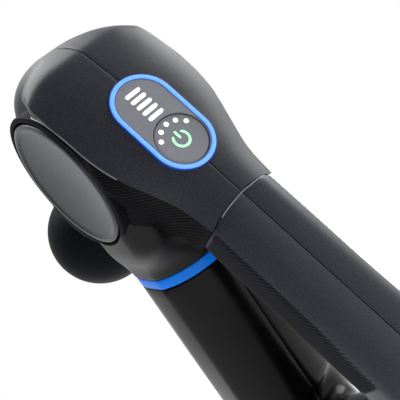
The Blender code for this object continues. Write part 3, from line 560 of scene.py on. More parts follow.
def crown_share(way):
    """1 on the crown and 0 on the back, with a soft change past the crease."""
    return ease((CREASE_WAY + CROWN_AHEAD - way) / CROWN_RUN)


def hood_drop(way, across, wide):
    """How far the hood has fallen away across: round shoulders on the crown, a gentle curve on the back."""
    crown = crown_share(way)
    round_across = SHOULDER_ACROSS[0] + (SHOULDER_ACROSS[1] - SHOULDER_ACROSS[0]) * crown
    round_deep = SHOULDER_DEEP[0] + (SHOULDER_DEEP[1] - SHOULDER_DEEP[0]) * crown
    past = max(across - wide + round_across, 0) / round_across
    shoulder = round_deep * (1 - math.sqrt(max(1 - past ** 2, 0)))
    gentle = EDGE_DROP * (across / wide) ** EDGE_POWER
    return shoulder * crown + gentle * (1 - crown)


def hood_section(way):
    """Half of the hood's band: (depth, across) points out to the lip, and the inner side back."""
    wide = smooth(HOOD_WIDTHS, way)
    crown = crown_share(way)
    outer = [(-hood_drop(way, wide * math.sin(turned), wide), wide * math.sin(turned))
             for turned in steps(0, math.pi / 2, 28)]
    lip = max(lip_depth(swept(way, wide)), -outer[-1][0] + 0.5 * crown + 0.3)
    outer += [(-lip + 0.12, wide - 0.08), (-lip, wide - 0.3), (-lip, wide - WALL)]
    inner = []
    for share in INNER_SHARES:
        across = (wide - WALL) * share
        inner.append((-min(hood_drop(way, across, wide) + WALL, lip), across))
    return outer, inner


# The sections stand closest round the crease.
hood_ways = steps(0, 88, 30) + steps(90, 122, 28) + steps(124, ways[-1], 26)
hood_rings = []
lip_path = []
for way in hood_ways:
    outer, inner = hood_section(way)
    left = outer[1:] + inner[:-1]
    band = [outer[0]] + left + [inner[-1]] + [(depth, -across) for depth, across in reversed(left)]
    hood_rings.append([hood_place(way, depth, across) for depth, across in band])
    lip_place = hood_place(way, outer[-3][0], outer[-3][1] + 0.08)
    if way > LIP_BEAD_WAY and lip_place.z > LIP_BEAD_END:
        lip_path.append(lip_place)
hood = loft("hood", hood_rings)

PANEL_LENGTH = 45
PANEL_WIDTH = 26
PANEL_DROP = 18
PANEL_GAP = 0.35
POCKET_ENDS = (-45, -30)


def stadium(grow, count=24):
    """The panel's outline, (across, height), grown by a margin."""
    straight_half = (PANEL_LENGTH - PANEL_WIDTH) / 2
    radius = PANEL_WIDTH / 2 + grow
    top = arc((0, straight_half - PANEL_DROP), radius, 0, 180, count)
    return top + arc((0, -straight_half - PANEL_DROP), radius, 180, 360, count)


def panel_ring(grow, x):
    return [(x, across, height) for across, height in stadium(grow)]


pocket = loft("panel_pocket", [panel_ring(PANEL_GAP, x) for x in POCKET_ENDS])
cut(hood, pocket)
dress_halves(hood, soft_touch, "soft_charcoal", "head_shell")
# Thin beads along each lip carry a painted highlight: a light grey satin finish in place of the light the
# lip's rounded edge catches.
for word, side in SIDES:
    path = [(point.x, side * (point.y - 0.05), point.z) for point in lip_path]
    edge = bead_along(f"lip_edge_{word}", path, ALONG_Y, EDGE_BEAD)
    dress(edge, painted_highlight_edge, "housing", "soft_charcoal", f"head_shell_{word}", angle=60)

# %% [markdown]
# ## The flanks under the hood
#
# Below the lip lies the drum of the motor and the neck that runs into the arm. It is a stack of level
# sections with round corners, and it is bored through for the motor.

# %% The flanks under the hood
FLANK_FRONT = ((28, 32.6), (8, 42.2), (-10, 41.8), (-22, 36.9), (-34, 0), (-46, -8), (-58, -11))
FLANK_BACK = ((28, -22), (20, -27.5), (8, -33), (0, -34.4), (-60, -34.6))
FLANK_ROUND = 3
FLANK_TOP = 28
NECK_OVERLAP = 1.2
DRUM_RADIUS = 38
DRUM_HALF = 12
MOTOR_BORE = 31.5
BORE_HALF = 40
ROD_WAY_RADIUS = 14.4
ROD_WAY_ENDS = (20, 46)
NECK_HEIGHTS = (-12, -20, -30, -40, -50, -59)
NECK_DEPTHS = (-38.4, -13.6)
NECK_HALF = 21
NECK_ROUND = 5


def rounded(half_a, half_b, radius, count=8):
    """A rectangle with round corners, about its middle."""
    points = []
    for quarter, (sign_a, sign_b) in enumerate(((1, 1), (-1, 1), (-1, -1), (1, -1))):
        middle = (sign_a * (half_a - radius), sign_b * (half_b - radius))
        points += arc(middle, radius, 90 * quarter, 90 * quarter + 90, count)
    return points


def level_ring(height, back, front, wide, radius):
    return [((front + back) / 2 + a, b, height) for a, b in rounded((front - back) / 2, wide, radius)]


def flank(height):
    return half_width(height) - FLANK_STEP


def flank_ring(height):
    """A level section of the drum and the neck."""
    back = straight(FLANK_BACK, height)
    front = straight(FLANK_FRONT, height)
    return level_ring(height, back, front, flank(height), FLANK_ROUND)


def cylinder(name, radius, low, high, axis):
    """A solid cylinder between two reaches along an axis."""
    return turn(name, [(0, low), (radius, low), (radius, high), (0, high)], axis)


def drum_cutters():
    """The hollow for the crank drive, the motor's bore and the way of the connecting rod into the nose."""
    drum = cylinder("drum_hollow", DRUM_RADIUS, -DRUM_HALF, DRUM_HALF, ALONG_Y)
    bore = cylinder("motor_bore", MOTOR_BORE, -BORE_HALF, BORE_HALF, ALONG_Y)
    rod_way = cylinder("rod_way", ROD_WAY_RADIUS, *ROD_WAY_ENDS, ALONG_X)
    return drum, bore, rod_way


flanks = loft("flanks", [flank_ring(height) for height in steps(FLANK_TOP, NECK_END - NECK_OVERLAP, 30)])
cut(flanks, *drum_cutters())
neck = loft("neck_hollow", [
    level_ring(height, *NECK_DEPTHS, min(flank(height) - WALL, NECK_HALF), NECK_ROUND)
    for height in NECK_HEIGHTS])
cut(flanks, neck)
dress_halves(flanks, bare_abs, "soft_charcoal", "head_shell", 0)

# %% [markdown]
# ## Ribs on the flanks
#
# Fine slanting ribs run from the neck round the motor, and steeper ones down the arm. A texture would be
# flat in profile, so a grid is laid on the flank with its columns along the ribs. Every fourth column is a
# crest, and the border sinks below the surface.

# %% Ribs on the flanks
HEAD_RIB_PITCH = 2.9
ARM_RIB_PITCH = 1.9
RIB_STEPS = 4
RIB_LEAN = 1.7
RIB_HEIGHT = 0.38
RIB_BASE = 0.03
RIB_WALL = 0.6
RIB_HALVINGS = 13
HEAD_RIB_RUN = 1.664
ARM_RIB_RUN = 0.869
RIB_TURN = (-45, -60)
HEAD_RIB_HEIGHTS = steps(14, -58.6, 62)
HEAD_RIB_BORDER = (0.8, 0.5)
ARM_RIB_HEIGHTS = steps(-60.4, -138, 60)
ARM_RIB_BORDER = (1.2, 0.12)
ARM_BACK, ARM_FRONT = -35.2, -13.6
ARM_ROUND = 9
ARM_FRONT_ROUND = 14
ARM_FLAT = (-30.9, -25)
BOSS_REACH = 30.5
CAP_RADIUS = 30.2
CAP_GAP = 0.7
RIM_MARGIN = 0.3
LIP_COVER = 0.4
LIP_RETREAT = 5
RETREAT_RUN = 12
BOSS_SWELL = 8
SWELL_TOP = (2, 18)
SWELL_LOW = (-18, 10)
SWELL_NECK = (-22, 12)
SWELL_FRONT = 7


def rib_line(height):
    """How far forward one rib has run at a height: flatter on the head, steeper on the arm."""
    upper, lower = RIB_TURN
    if height >= upper:
        return HEAD_RIB_RUN * (height - upper)
    turned = (HEAD_RIB_RUN + ARM_RIB_RUN) / 2 * (lower - upper)
    if height <= lower:
        return turned + ARM_RIB_RUN * (height - lower)
    share = (upper - height) / (upper - lower)
    slope = HEAD_RIB_RUN + (ARM_RIB_RUN - HEAD_RIB_RUN) * share / 2
    return slope * (height - upper)


def no_swell(x, height):
    return 0


def rib_place(height, along, borders, swell):
    """Where a column crosses a height; the ribs lean back where the flank swells."""
    low, high = borders
    for _ in range(RIB_HALVINGS):
        middle = (low + high) / 2
        if middle + RIB_LEAN * swell(middle, height) < rib_line(height) + along:
            low = middle
        else:
            high = middle
    return (low + high) / 2


def ribbed_skin(name, side, heights, span, level, swell, pitch, fade, sink):
    """A grid along the ribs between two borders, raised into ribs and given a thin wall."""
    step = pitch / RIB_STEPS
    lows = [span(height)[0] - rib_line(height) for height in heights]
    highs = [span(height)[1] + RIB_LEAN * swell(span(height)[1], height) - rib_line(height)
             for height in heights]
    first = math.floor(min(lows) / step)
    last = math.ceil(max(highs) / step)
    columns = list(range(first, last + 1))
    bpy.ops.object.select_all(action="DESELECT")
    bpy.ops.mesh.primitive_grid_add(x_subdivisions=len(columns) - 1, y_subdivisions=len(heights) - 1)
    piece = bpy.context.object
    piece.name = name
    piece.data.name = name
    edit(piece)
    form = bmesh.from_edit_mesh(piece.data)
    form.verts.ensure_lookup_table()
    for index, vert in enumerate(form.verts):
        height = heights[index // len(columns)]
        column = columns[index % len(columns)]
        back, front = span(height)
        x = rib_place(height, column * step, (back, front), swell)
        inside = min(x - back, front - x, height - heights[-1], heights[0] - height)
        share = min(max(inside / fade, 0), 1)
        crest = 0.5 + 0.5 * math.cos(2 * math.pi * column / RIB_STEPS)
        lift = RIB_HEIGHT * crest * share + RIB_BASE - sink * (1 - share)
        vert.co = at((x, side * (level(x, height) + lift), height))
    bmesh.update_edit_mesh(piece.data)
    leave()
    apply_modifier(piece, "SOLIDIFY", thickness=RIB_WALL * MM, offset=-1)
    edit(piece)
    leave()
    return piece


def head_span(height):
    """The ribbed stretch of the head: from under the lip to inside the boss or the neck's front edge."""
    back = REAR + LIP_DEPTH - LIP_COVER + LIP_RETREAT * ease(height / RETREAT_RUN)
    front = straight(FLANK_FRONT, height) - FLANK_ROUND
    rim = CAP_RADIUS + CAP_GAP + RIM_MARGIN
    if abs(height) < rim:
        front = min(front, -math.sqrt(rim ** 2 - height ** 2))
    return back, max(front, back + 1)


def arm_level(x, height):
    """The arm's flank, which turns in to its rounded rear and front edges."""
    radius = ARM_ROUND if x < ARM_FLAT[0] else ARM_FRONT_ROUND
    past = max(ARM_FLAT[0] - x, x - ARM_FLAT[1], 0)
    return ARM_HALF - radius + math.sqrt(radius ** 2 - past ** 2)


def flank_swell(x, height):
    """How far the head's flank swells towards the boss's rim below the motor."""
    near = ease(1 - (math.hypot(x, height) - BOSS_RADIUS) / BOSS_SWELL)
    top = ease((SWELL_TOP[0] - height) / SWELL_TOP[1])
    near *= top * (1 - 0.5 * ease((SWELL_LOW[0] - height) / SWELL_LOW[1]))
    low = ease((SWELL_NECK[0] - height) / SWELL_NECK[1])
    near *= 1 - low * (1 - ease((head_span(height)[1] + 1 - x) / SWELL_FRONT))
    return max(BOSS_REACH + 0.1 - flank(height), 0) * near


def flank_level(x, height):
    return flank(height) + flank_swell(x, height)


def arm_span(height):
    return ARM_BACK, ARM_FRONT


for word, side in SIDES:
    ribs = ribbed_skin(f"head_ribs_{word}", side, HEAD_RIB_HEIGHTS, head_span, flank_level,
                       flank_swell, HEAD_RIB_PITCH, *HEAD_RIB_BORDER)
    dress(ribs, bare_abs, "housing", "soft_charcoal", f"head_shell_{word}", angle=60)
    ribs = ribbed_skin(f"arm_ribs_{word}", side, ARM_RIB_HEIGHTS, arm_span, arm_level,
                       no_swell, ARM_RIB_PITCH, *ARM_RIB_BORDER)
    dress(ribs, ribbed_abs, "housing", "soft_charcoal", f"grip_shell_{word}", angle=60)

# %% [markdown]
# ## Boss, caps and nose
#
# The motor sits behind a round cap in a raised boss. Both are spun profiles: the boss is a ring with soft
# edges, and the cap is dished, with a bevel at its rim. The nose is spun about the plunger's line.

# %% Boss, caps and nose
CAP_REACH = 31.1
BORE_RADIUS = 28
CAP_RIM = 3.4
CAP_DISH = 2.0
CAP_THICKNESS = 3.2
SEAT_DEPTH = 3.5
BOSS_ROOT = 18


def cap_profile():
    """The dished face, a step up to the flat rim, the bevel, and the flat back."""
    edge = CAP_RADIUS - CAP_RIM
    dish = [(share * edge, CAP_REACH - 0.6 - CAP_DISH * (1 - share ** 2)) for share in steps(0, 1, 20)]
    rim = [(edge + 0.8, CAP_REACH - 0.12), (edge + 1.2, CAP_REACH), (CAP_RADIUS - 0.9, CAP_REACH - 0.05)]
    bevel = [(CAP_RADIUS - 0.35, CAP_REACH - 0.3), (CAP_RADIUS, CAP_REACH - 0.9)]
    back = CAP_REACH - CAP_THICKNESS
    return dish + rim + bevel + [(CAP_RADIUS, back), (0, back)]


boss_inner = CAP_RADIUS + CAP_GAP
cap_seat = CAP_REACH - SEAT_DEPTH
boss_profile = [
    (BORE_RADIUS, BOSS_ROOT), (BORE_RADIUS, cap_seat), (boss_inner, cap_seat),
    (boss_inner, BOSS_REACH - 0.4), (boss_inner + 0.15, BOSS_REACH - 0.12), (boss_inner + 0.5, BOSS_REACH),
    (BOSS_RADIUS - 0.9, BOSS_REACH), (BOSS_RADIUS - 0.3, BOSS_REACH - 0.25),
    (BOSS_RADIUS, BOSS_REACH - 0.9), (BOSS_RADIUS, BOSS_ROOT)]
for word, side in SIDES:
    cap = turn(f"cap_{word}", [(radius, side * reach) for radius, reach in cap_profile()], ALONG_Y, 128)
    dress(cap, satin_cap, "housing", "satin_grey", f"side_cap_{word}")
    boss = turn(f"boss_{word}", [(radius, side * reach) for radius, reach in boss_profile], ALONG_Y, 128)
    dress(boss, bare_abs, "housing", "soft_charcoal", f"head_shell_{word}")

NOSE_OUTER = ((30, 24), (38, 23.4), (44, 21), (50, 18.9), (56, 17.6), (61.4, 16.6))
NOSE_BORE = 11.2
NOSE_STEP = 43.5
NOSE_ROOT, NOSE_EDGE, NOSE_END = 30, 61.4, 63.0
nose_profile = [(NOSE_BORE, NOSE_STEP), (ROD_WAY_RADIUS, NOSE_STEP), (ROD_WAY_RADIUS, NOSE_ROOT)]
nose_profile += [(smooth(NOSE_OUTER, x), x) for x in steps(NOSE_ROOT, NOSE_EDGE, 18)]
nose_profile += [(16.4, 62.4), (15.8, NOSE_END), (NOSE_BORE, NOSE_END)]
nose = turn("nose", nose_profile, ALONG_X)
dress_halves(nose, soft_touch, "soft_charcoal", "head_shell")
ring_profile = [(7.3, 63.3), (16.0, 63.3), (16.0, 65.4), (15.5, 66.4),
                (14.2, 67.2), (8.2, 67.3), (7.3, 66.6)]
nose_ring = turn("nose_collar", ring_profile, ALONG_X)
dress(nose_ring, black_nylon, "housing", "holder_black", "nose_ring")

# %% [markdown]
# ## The leg's root, the band and the leg
#
# A thick leg slopes down and forward from the motor. Its root is part of the head, a blue band marks the
# joint, and the smooth leg below bends round into the base bar. Each is a section that travels along the
# leg's axis, half of it drawn and half mirrored. The root's section is a box with round corners. The leg's
# has a round inner face that ends in a crisp corner.

# %% The leg's root, the band and the leg
LEG_SLOPE = math.radians(59)
LEG_DOWN = Vector((math.cos(LEG_SLOPE), 0, -math.sin(LEG_SLOPE)))
LEG_OUT = Vector((math.sin(LEG_SLOPE), 0, math.cos(LEG_SLOPE)))
LEG_WIDTH = 54
LEG_DEPTH = 49
LEG_ROUND = 20
ROOT_WIDTHS = ((18, 62), (36, 61.8), (42, 60), (47, 57), (52, 55), (56, 54))
ROOT_ROUND = 10
ROOT_SWELL = 1.14
ROOT_START = 18
ROOT_BLEND_START = 34
ROOT_BLEND_RUN = 20
ROOT_HOLLOW_ENDS = (20, 60)
LEG_FLARE = 0.074
FLARE_START = 61
FLARE_RUN = 65
REAR_ROUND = 29.2
REAR_TURN = 61
CRISP_CORNER = [(-8.6, 25.98), (-7.6, 26.25), (-6.2, 26.4)]
BAND_START = 55.4
BAND = ((0.3, 0.45), (0.55, 0.12), (0.9, 0), (4.7, 0), (5.05, 0.12), (5.3, 0.45))
BAND_WALL = 2.2
LEG_TOP = ((5.6, 0.45), (5.85, 0.12), (6.2, 0))
LEG_START = 66
FRONT_BEND = 27
HANDLE_WIDTH = 35
HANDLE_DEPTH = 30
MOTOR_HEIGHT = 181
JOINT_SETBACK = 2


def box_form(depth, width, inner_round, outer_round):
    """Half of a section with round corners: the inner face, its corner, the side, the outer corner."""
    back, side = -depth / 2, width / 2
    form = [(back, (side - inner_round) * share) for share in (0, 0.35, 0.7, 0.95)]
    form += arc((back + inner_round, side - inner_round), inner_round, 180, 90, 10)
    form += [((inner_round - outer_round) / 2, side)]
    form += arc((-back - outer_round, side - outer_round), outer_round, 90, 0, 8)
    return form + [(-back, 0)]


def leg_form():
    """Half of the leg's section: a round inner face up to a crisp corner, a flat side and a round front."""
    form = [(REAR_ROUND - LEG_DEPTH / 2 - REAR_ROUND * math.cos(turned), REAR_ROUND * math.sin(turned))
            for turned in steps(0, math.radians(REAR_TURN), 12)]
    form += CRISP_CORNER
    form += arc((LEG_DEPTH / 2 - LEG_ROUND, LEG_WIDTH / 2 - LEG_ROUND), LEG_ROUND, 90, 0, 8)
    return form + [(LEG_DEPTH / 2, 0)]


LEG_FORM = leg_form()
ROOT_FORM = box_form(LEG_DEPTH, LEG_WIDTH, ROOT_ROUND, LEG_ROUND)
HANDLE_FORM = box_form(HANDLE_DEPTH, HANDLE_WIDTH, ARM_FRONT_ROUND, ARM_ROUND)


def blend(first, second, share):
    """A half section between two others."""
    return [(a + (c - a) * share, b + (d - b) * share) for (a, b), (c, d) in zip(first, second)]


def flared(distance):
    """How much wider the leg is than below the band; it grows towards the foot."""
    return 1 + LEG_FLARE * max(distance - FLARE_START, 0) / FLARE_RUN


def form_ring(middle, normal, form, inset=0.0, widen=1.0):
    """A whole section about a middle: half a form, shrunk or widened, and its mirror image."""
    deep = 1 - inset / form[-1][0]
    wide = widen - inset / max(b for a, b in form)
    whole = form + [(a, -b) for a, b in reversed(form[1:-1])]
    return [middle + normal * (a * deep) + ALONG_Y * (b * wide) for a, b in whole]


def leg_ring(distance, inset=0.0):
    return form_ring(LEG_DOWN * distance, LEG_OUT, LEG_FORM, inset, flared(distance))


def root_ring(distance):
    """The root's section, which turns into the leg's towards the band."""
    share = ease((distance - ROOT_BLEND_START) / ROOT_BLEND_RUN)
    deeper = ROOT_SWELL + (1 - ROOT_SWELL) * share
    form = [(a * deeper if a < 0 else a, b) for a, b in blend(ROOT_FORM, LEG_FORM, share)]
    return form_ring(LEG_DOWN * distance, LEG_OUT, form, 0, smooth(ROOT_WIDTHS, distance) / LEG_WIDTH)


def bar_ring(shift, inset=0.0):
    """The handle's section in the base bar, beside the joint of the leg and the grip."""
    return form_ring(Vector((handle_joint + shift, 0, bar_middle)), -ALONG_Z, HANDLE_FORM, inset)


root_rings = [root_ring(distance) for distance in steps(ROOT_START, BAND_START - 0.7, 24)]
root_rings.append(leg_ring(BAND_START - 0.2, inset=0.15))
root_rings.append(leg_ring(BAND_START, inset=0.5))
root = loft("leg_root", root_rings)
# The hollow is cut before the drum, because the exact solver loses the root in the other order.
root_hollow = loft("root_hollow", [leg_ring(distance, WALL) for distance in steps(*ROOT_HOLLOW_ENDS, 5)])
cut(root, root_hollow, *drum_cutters())
dress_halves(root, satin_abs, "soft_charcoal", "head_shell", 0)

band = loft("blue_band", [leg_ring(BAND_START + distance, inset=inset) for distance, inset in BAND])
hollow(band, BAND_WALL)
dress(band, band_blue, "housing", "accent_blue", "accent_band")

bar_middle = -MOTOR_HEIGHT + HANDLE_DEPTH / 2
leg_corner = -bar_middle / math.sin(LEG_SLOPE)
bend_start = leg_corner - FRONT_BEND * math.tan((math.pi - LEG_SLOPE) / 2)
bend_middle = LEG_DOWN * bend_start - LEG_OUT * FRONT_BEND
handle_joint = bend_middle.x - JOINT_SETBACK
leg_rings = [leg_ring(BAND_START + distance, inset=inset) for distance, inset in LEG_TOP]
leg_rings += [leg_ring(distance) for distance in steps(LEG_START, bend_start - 4, 12)]
bend = arc((0, 0), 1, 90 - math.degrees(LEG_SLOPE), -90, 30)
for index, (a, b) in enumerate(bend):
    share = ease((index + 1) / len(bend))
    form = blend(LEG_FORM, HANDLE_FORM, share)
    widen = flared(bend_start) * (1 - share) + share
    normal = Vector((a, 0, b))
    leg_rings.append(form_ring(bend_middle + normal * FRONT_BEND, normal, form, 0, widen))
leg_rings += [bar_ring(0.45), bar_ring(0.15, 0.3)]
leg = loft("leg", leg_rings)
hollow(leg)
dress_halves(leg, polished_abs, "gloss_black", "leg_shell")

# %% [markdown]
# ## The arm and the base bar
#
# The arm is one bent tube: down from the cross seam, round the rear bend and along the base. Its upper end
# is rounded over, so that the seam to the head catches the light.

# %% The arm and the base bar
REAR_BEND = 22
REAR_CROWN = 1.2
CROWN_FADE = (-140, 40)
SEAM_FADE = (-80, 18)
ARM_TOP = ((-58.3, 0.8), (-58.4, 0.4), (-58.65, 0.12), (-59.1, 0), (-61, 0),
           (-64, 0), (-68, 0), (-74, 0), (-80, 0))
EDGE_HEIGHT = -58.62
EDGE_INSET = 0.25
EDGE_BACK = -39
SOCKET_HEIGHT = -138
SOCKET_ENDS = (-44, -32)
SOCKET_SIZE = (5.6, 2.65, 2.4)
arm_middle = REAR + HANDLE_DEPTH / 2


def arm_ring(height, inset=0.0):
    """A section of the arm, with a crowned rear face, arched near the cross seam."""
    crown = REAR_CROWN * ease((height - CROWN_FADE[0]) / CROWN_FADE[1])
    form = [(a - crown * (b / ARM_HALF) ** 2 if a > 0 else a, b) for a, b in HANDLE_FORM]
    ring = form_ring(Vector((arm_middle, 0, height)), -ALONG_X, form, inset)
    arch = ease((height - SEAM_FADE[0]) / SEAM_FADE[1])
    return [point + ALONG_Z * (seam_arch(point.y) * arch) for point in ring]


grip_rings = [arm_ring(height, inset) for height, inset in ARM_TOP]
grip_rings += [arm_ring(height) for height in steps(-90, -140, 8)]
# A thin bead across the arm's rear at the cross seam carries a painted highlight, in the same light grey
# satin finish.
edge_path = [point for point in arm_ring(EDGE_HEIGHT, EDGE_INSET) if point.x < EDGE_BACK]
edge_path.sort(key=lambda point: point.y)
arm_highlight_bead = bead_along("arm_highlight_bead", edge_path, ALONG_Z, EDGE_BEAD)
dress(arm_highlight_bead, painted_highlight_edge, "housing", "soft_charcoal", "grip_shell_left", angle=60)
bend_centre = Vector((arm_middle + REAR_BEND, 0, bar_middle + REAR_BEND))
for a, b in arc((0, 0), 1, 180, 270, 20):
    normal = Vector((a, 0, b))
    grip_rings.append(form_ring(bend_centre + normal * REAR_BEND, normal, HANDLE_FORM))
grip_rings += [bar_ring(-0.5), bar_ring(-0.15, 0.3)]
grip = loft("grip", grip_rings)
hollow(grip)
socket_outline = rounded(*SOCKET_SIZE)
socket_rings = [[(x, a, SOCKET_HEIGHT + b) for a, b in socket_outline] for x in SOCKET_ENDS]
cut(grip, loft("socket_opening", socket_rings))
dress_halves(grip, soft_touch, "soft_charcoal", "grip_shell")

# %% [markdown]
# ## The lit panel
#
# A frosted ring of light frames the panel. Its section is a flat bead that travels round the stadium, and
# thin darker beads lie outside and inside it as painted shade along the ring's sides.

# %% The lit panel
BEAD_COUNT = 24
RING_WIDTH = 1.8
RING_DEEP = 2.4
EDGE_WIDTH = 0.3


def bead(name, low, high, proud, deep):
    """A bead round the panel between two margins, with soft upper edges."""
    soft = min(0.3, (high - low) / 2.2)
    section = [(low, deep), (low, -proud + 0.25), (low + 0.4 * soft, -proud + 0.06), (low + soft, -proud)]
    section += [(high - soft, -proud), (high - 0.4 * soft, -proud + 0.06)]
    section += [(high, -proud + 0.25), (high, deep)]
    outlines = [(stadium(margin, BEAD_COUNT), depth) for margin, depth in section]
    count = len(outlines[0][0])
    rings = [[(REAR + depth, *outline[i % count]) for outline, depth in outlines] for i in range(count + 1)]
    return loft(name, rings, closed=True)


# The outer and inner edge beads are painted shade: a darker blue in place of the ring's shaded sides.
for name, low, high, proud, material in (
        ("light_ring", -RING_WIDTH, -0.1, 0.3, lit_blue),
        ("ring_painted_shade_outer", -0.1, EDGE_WIDTH - 0.05, 0.2, painted_shade_blue),
        ("ring_painted_shade_inner", -RING_WIDTH - EDGE_WIDTH, -RING_WIDTH, 0.16, painted_shade_blue)):
    dress(bead(name, low, high, proud, RING_DEEP), material, "housing", "light_blue", "panel_light_ring")

# %% [markdown]
# ## The power button
#
# The button is a round key that sits a little below the panel and is dished for the thumb. Five dots and
# the power sign shine through its face. Each dot is spun, and the sign is a flat stroke that follows an
# arc, with a short bar at its gap.

# %% The power button
BUTTON_MIDDLE = Vector((REAR, 0, -27.5))
BUTTON_RADIUS = 10.4
FACE_DEPTH = 0.5
FACE_DISH = 0.3
DOT_CIRCLE = 7.9
DOT_RADIUS = 1.02
DOT_ANGLES = (30, 60, 90, 120, 150)
SIGN_RADIUS = 3.2
SIGN_HALF = 0.52
SIGN_GAP = 36
STROKE_TAPER = 3
STROKE_THIN = 0.25
KEY_SKIRT = 2.6
KEY_BACK = 1.7


def face_depth(radius):
    return FACE_DEPTH + FACE_DISH * (1 - (radius / BUTTON_RADIUS) ** 2)


button_profile = [(radius, face_depth(radius)) for radius in steps(0, BUTTON_RADIUS - 0.6, 10)]
button_profile += [(BUTTON_RADIUS - 0.2, FACE_DEPTH + 0.12), (BUTTON_RADIUS, FACE_DEPTH + 0.5)]
button_profile += [(BUTTON_RADIUS, KEY_SKIRT), (BUTTON_RADIUS - 1, KEY_SKIRT)]
button_profile += [(BUTTON_RADIUS - 1, KEY_BACK), (0, KEY_BACK)]
button = turn("button_key", button_profile, ALONG_X, 96, BUTTON_MIDDLE)
dress(button, panel_face, "power_button", "panel_grey", "power_button")

dot_top = face_depth(DOT_CIRCLE) - 0.1
dot_profile = [(0, dot_top), (DOT_RADIUS - 0.25, dot_top), (DOT_RADIUS - 0.06, dot_top + 0.05),
               (DOT_RADIUS, dot_top + 0.15), (DOT_RADIUS, dot_top + 0.6), (0, dot_top + 0.6)]
for number, angle in enumerate(DOT_ANGLES):
    across, up = arc((0, 0), DOT_CIRCLE, angle, angle, 2)[0]
    dot = turn(f"speed_dot_{number + 1}", dot_profile, ALONG_X, 32, BUTTON_MIDDLE + Vector((0, across, up)))
    dress(dot, lit_white, "power_button", "light_white", "speed_dots")


def end_share(index, last):
    """How wide a stroke is near its round ends, as a share of its full width."""
    from_end = min(index, last - index)
    if from_end >= STROKE_TAPER:
        return 1
    return math.sin(math.acos(1 - from_end / STROKE_TAPER))


def stroke(name, path):
    """A flat stroke with round ends through points (across, up) on the button's face."""
    rings = []
    last = len(path) - 1
    for index, (across, up) in enumerate(path):
        before = Vector((0, *path[max(index - 1, 0)]))
        after = Vector((0, *path[min(index + 1, last)]))
        side = (after - before).normalized().cross(ALONG_X)
        half = SIGN_HALF * max(end_share(index, last), STROKE_THIN)
        top = face_depth(math.hypot(across, up)) - 0.1
        middle = BUTTON_MIDDLE + Vector((0, across, up))
        section = ((-half, 0.5), (-half, 0.1), (-0.8 * half, 0.02),
                   (0.8 * half, 0.02), (half, 0.1), (half, 0.5))
        rings.append([middle + side * a + ALONG_X * (top + b) for a, b in section])
    return loft(name, rings)


sign_arc = stroke("power_sign_arc", arc((0, 0), SIGN_RADIUS, 90 + SIGN_GAP, 450 - SIGN_GAP, 48))
dress(sign_arc, lit_green, "power_button", "light_green", "power_icon")
sign_bar = stroke("power_sign_bar", [(0, up) for up in (0.3, 0.45, 0.65, 1, 2, 3, 3.6, 3.8, 3.95)])
dress(sign_bar, lit_green, "power_button", "light_green", "power_icon")

# %% [markdown]
# ## The ball
#
# The head that meets the skin is a ball of moulded foam on a short stem. It is spun with a round mouth for
# the stem, which has a socket for the plunger's spigot.

# %% The ball
BALL_REACH = 104
BALL_RADIUS = 30
SHAFT_END = 70
STEM_RADIUS = 9
STEM_FLANGE = 2.5
SPIGOT_LENGTH = 18
SOCKET_RADIUS = 4.8
CLEARANCE = 0.3
stem_end = SHAFT_END + CLEARANCE + SPIGOT_LENGTH + CLEARANCE + STEM_FLANGE
mouth = STEM_RADIUS + CLEARANCE
mouth_angle = math.degrees(math.acos(-math.sqrt(1 - (mouth / BALL_RADIUS) ** 2)))
ball_arc = [(BALL_RADIUS * math.sin(math.radians(a)), BALL_REACH + BALL_RADIUS * math.cos(math.radians(a)))
            for a in steps(0, mouth_angle - 1.2, 60)]
mouth_edge = BALL_REACH + BALL_RADIUS * math.cos(math.radians(mouth_angle))
ball_profile = ball_arc + [(mouth + 0.1, mouth_edge + 0.25), (mouth, mouth_edge + 0.8)]
ball_profile += [(mouth, stem_end + CLEARANCE), (0, stem_end + CLEARANCE)]
ball = turn("foam_ball", ball_profile, ALONG_X, 128)
dress(ball, foam_skin, "attachment", "foam_black", "massage_ball")
stem_profile = [(0, stem_end), (7.6, stem_end), (8.6, stem_end - 0.4), (STEM_RADIUS, stem_end - 1.2)]
stem_profile += [(STEM_RADIUS, 71.2), (8.6, 70.5), (8.0, 70.3), (SOCKET_RADIUS, 70.3)]
stem_profile += [(SOCKET_RADIUS, stem_end - STEM_FLANGE), (0, stem_end - STEM_FLANGE)]
stem = turn("stem", stem_profile, ALONG_X)
dress(stem, black_nylon, "attachment", "holder_black", "ball_stem")

# %% [markdown]
# ## Floor and world
#
# The gun stands on a pale floor in an even white room. The world is white to the camera and in reflections,
# apart from a dark side behind the camera, and gives a plain level of light.

# %% Floor and world
FLOOR_SIZE = 12
FLOOR_FILL = 0.66
ROOM_LEVEL = 0.56
DARK_SIDE = Vector((-0.89, 0.435, -0.137)).normalized()
bpy.ops.object.select_all(action="DESELECT")
bpy.ops.mesh.primitive_plane_add(size=FLOOR_SIZE)
floor = bpy.context.object
floor.name = "floor"
floor_paint = bpy.data.materials.new("matte_white_floor")
floor_paint.use_nodes = True
tree = floor_paint.node_tree
tree.nodes.clear()
rays = add_node(tree, "ShaderNodeLightPath")
matte = add_node(tree, "ShaderNodeBsdfDiffuse", {"Color": hex_colour("#e6e6e6")})
seen = add_node(tree, "ShaderNodeMath", operation="MAXIMUM", inputs={
    0: rays.outputs["Is Camera Ray"], 1: rays.outputs["Is Glossy Ray"]})
clear = add_node(tree, "ShaderNodeMath", operation="MAXIMUM", inputs={
    0: seen.outputs[0], 1: rays.outputs["Is Transmission Ray"]})
fill = add_node(tree, "ShaderNodeMath", {0: clear.outputs[0], 1: FLOOR_FILL}, operation="MULTIPLY")
glow = add_node(tree, "ShaderNodeEmission", {"Color": (1, 1, 1, 1), "Strength": fill.outputs[0]})
both = add_node(tree, "ShaderNodeAddShader", {0: matte.outputs[0], 1: glow.outputs[0]})
add_node(tree, "ShaderNodeOutputMaterial", {"Surface": both.outputs[0]})
floor.data.materials.append(floor_paint)

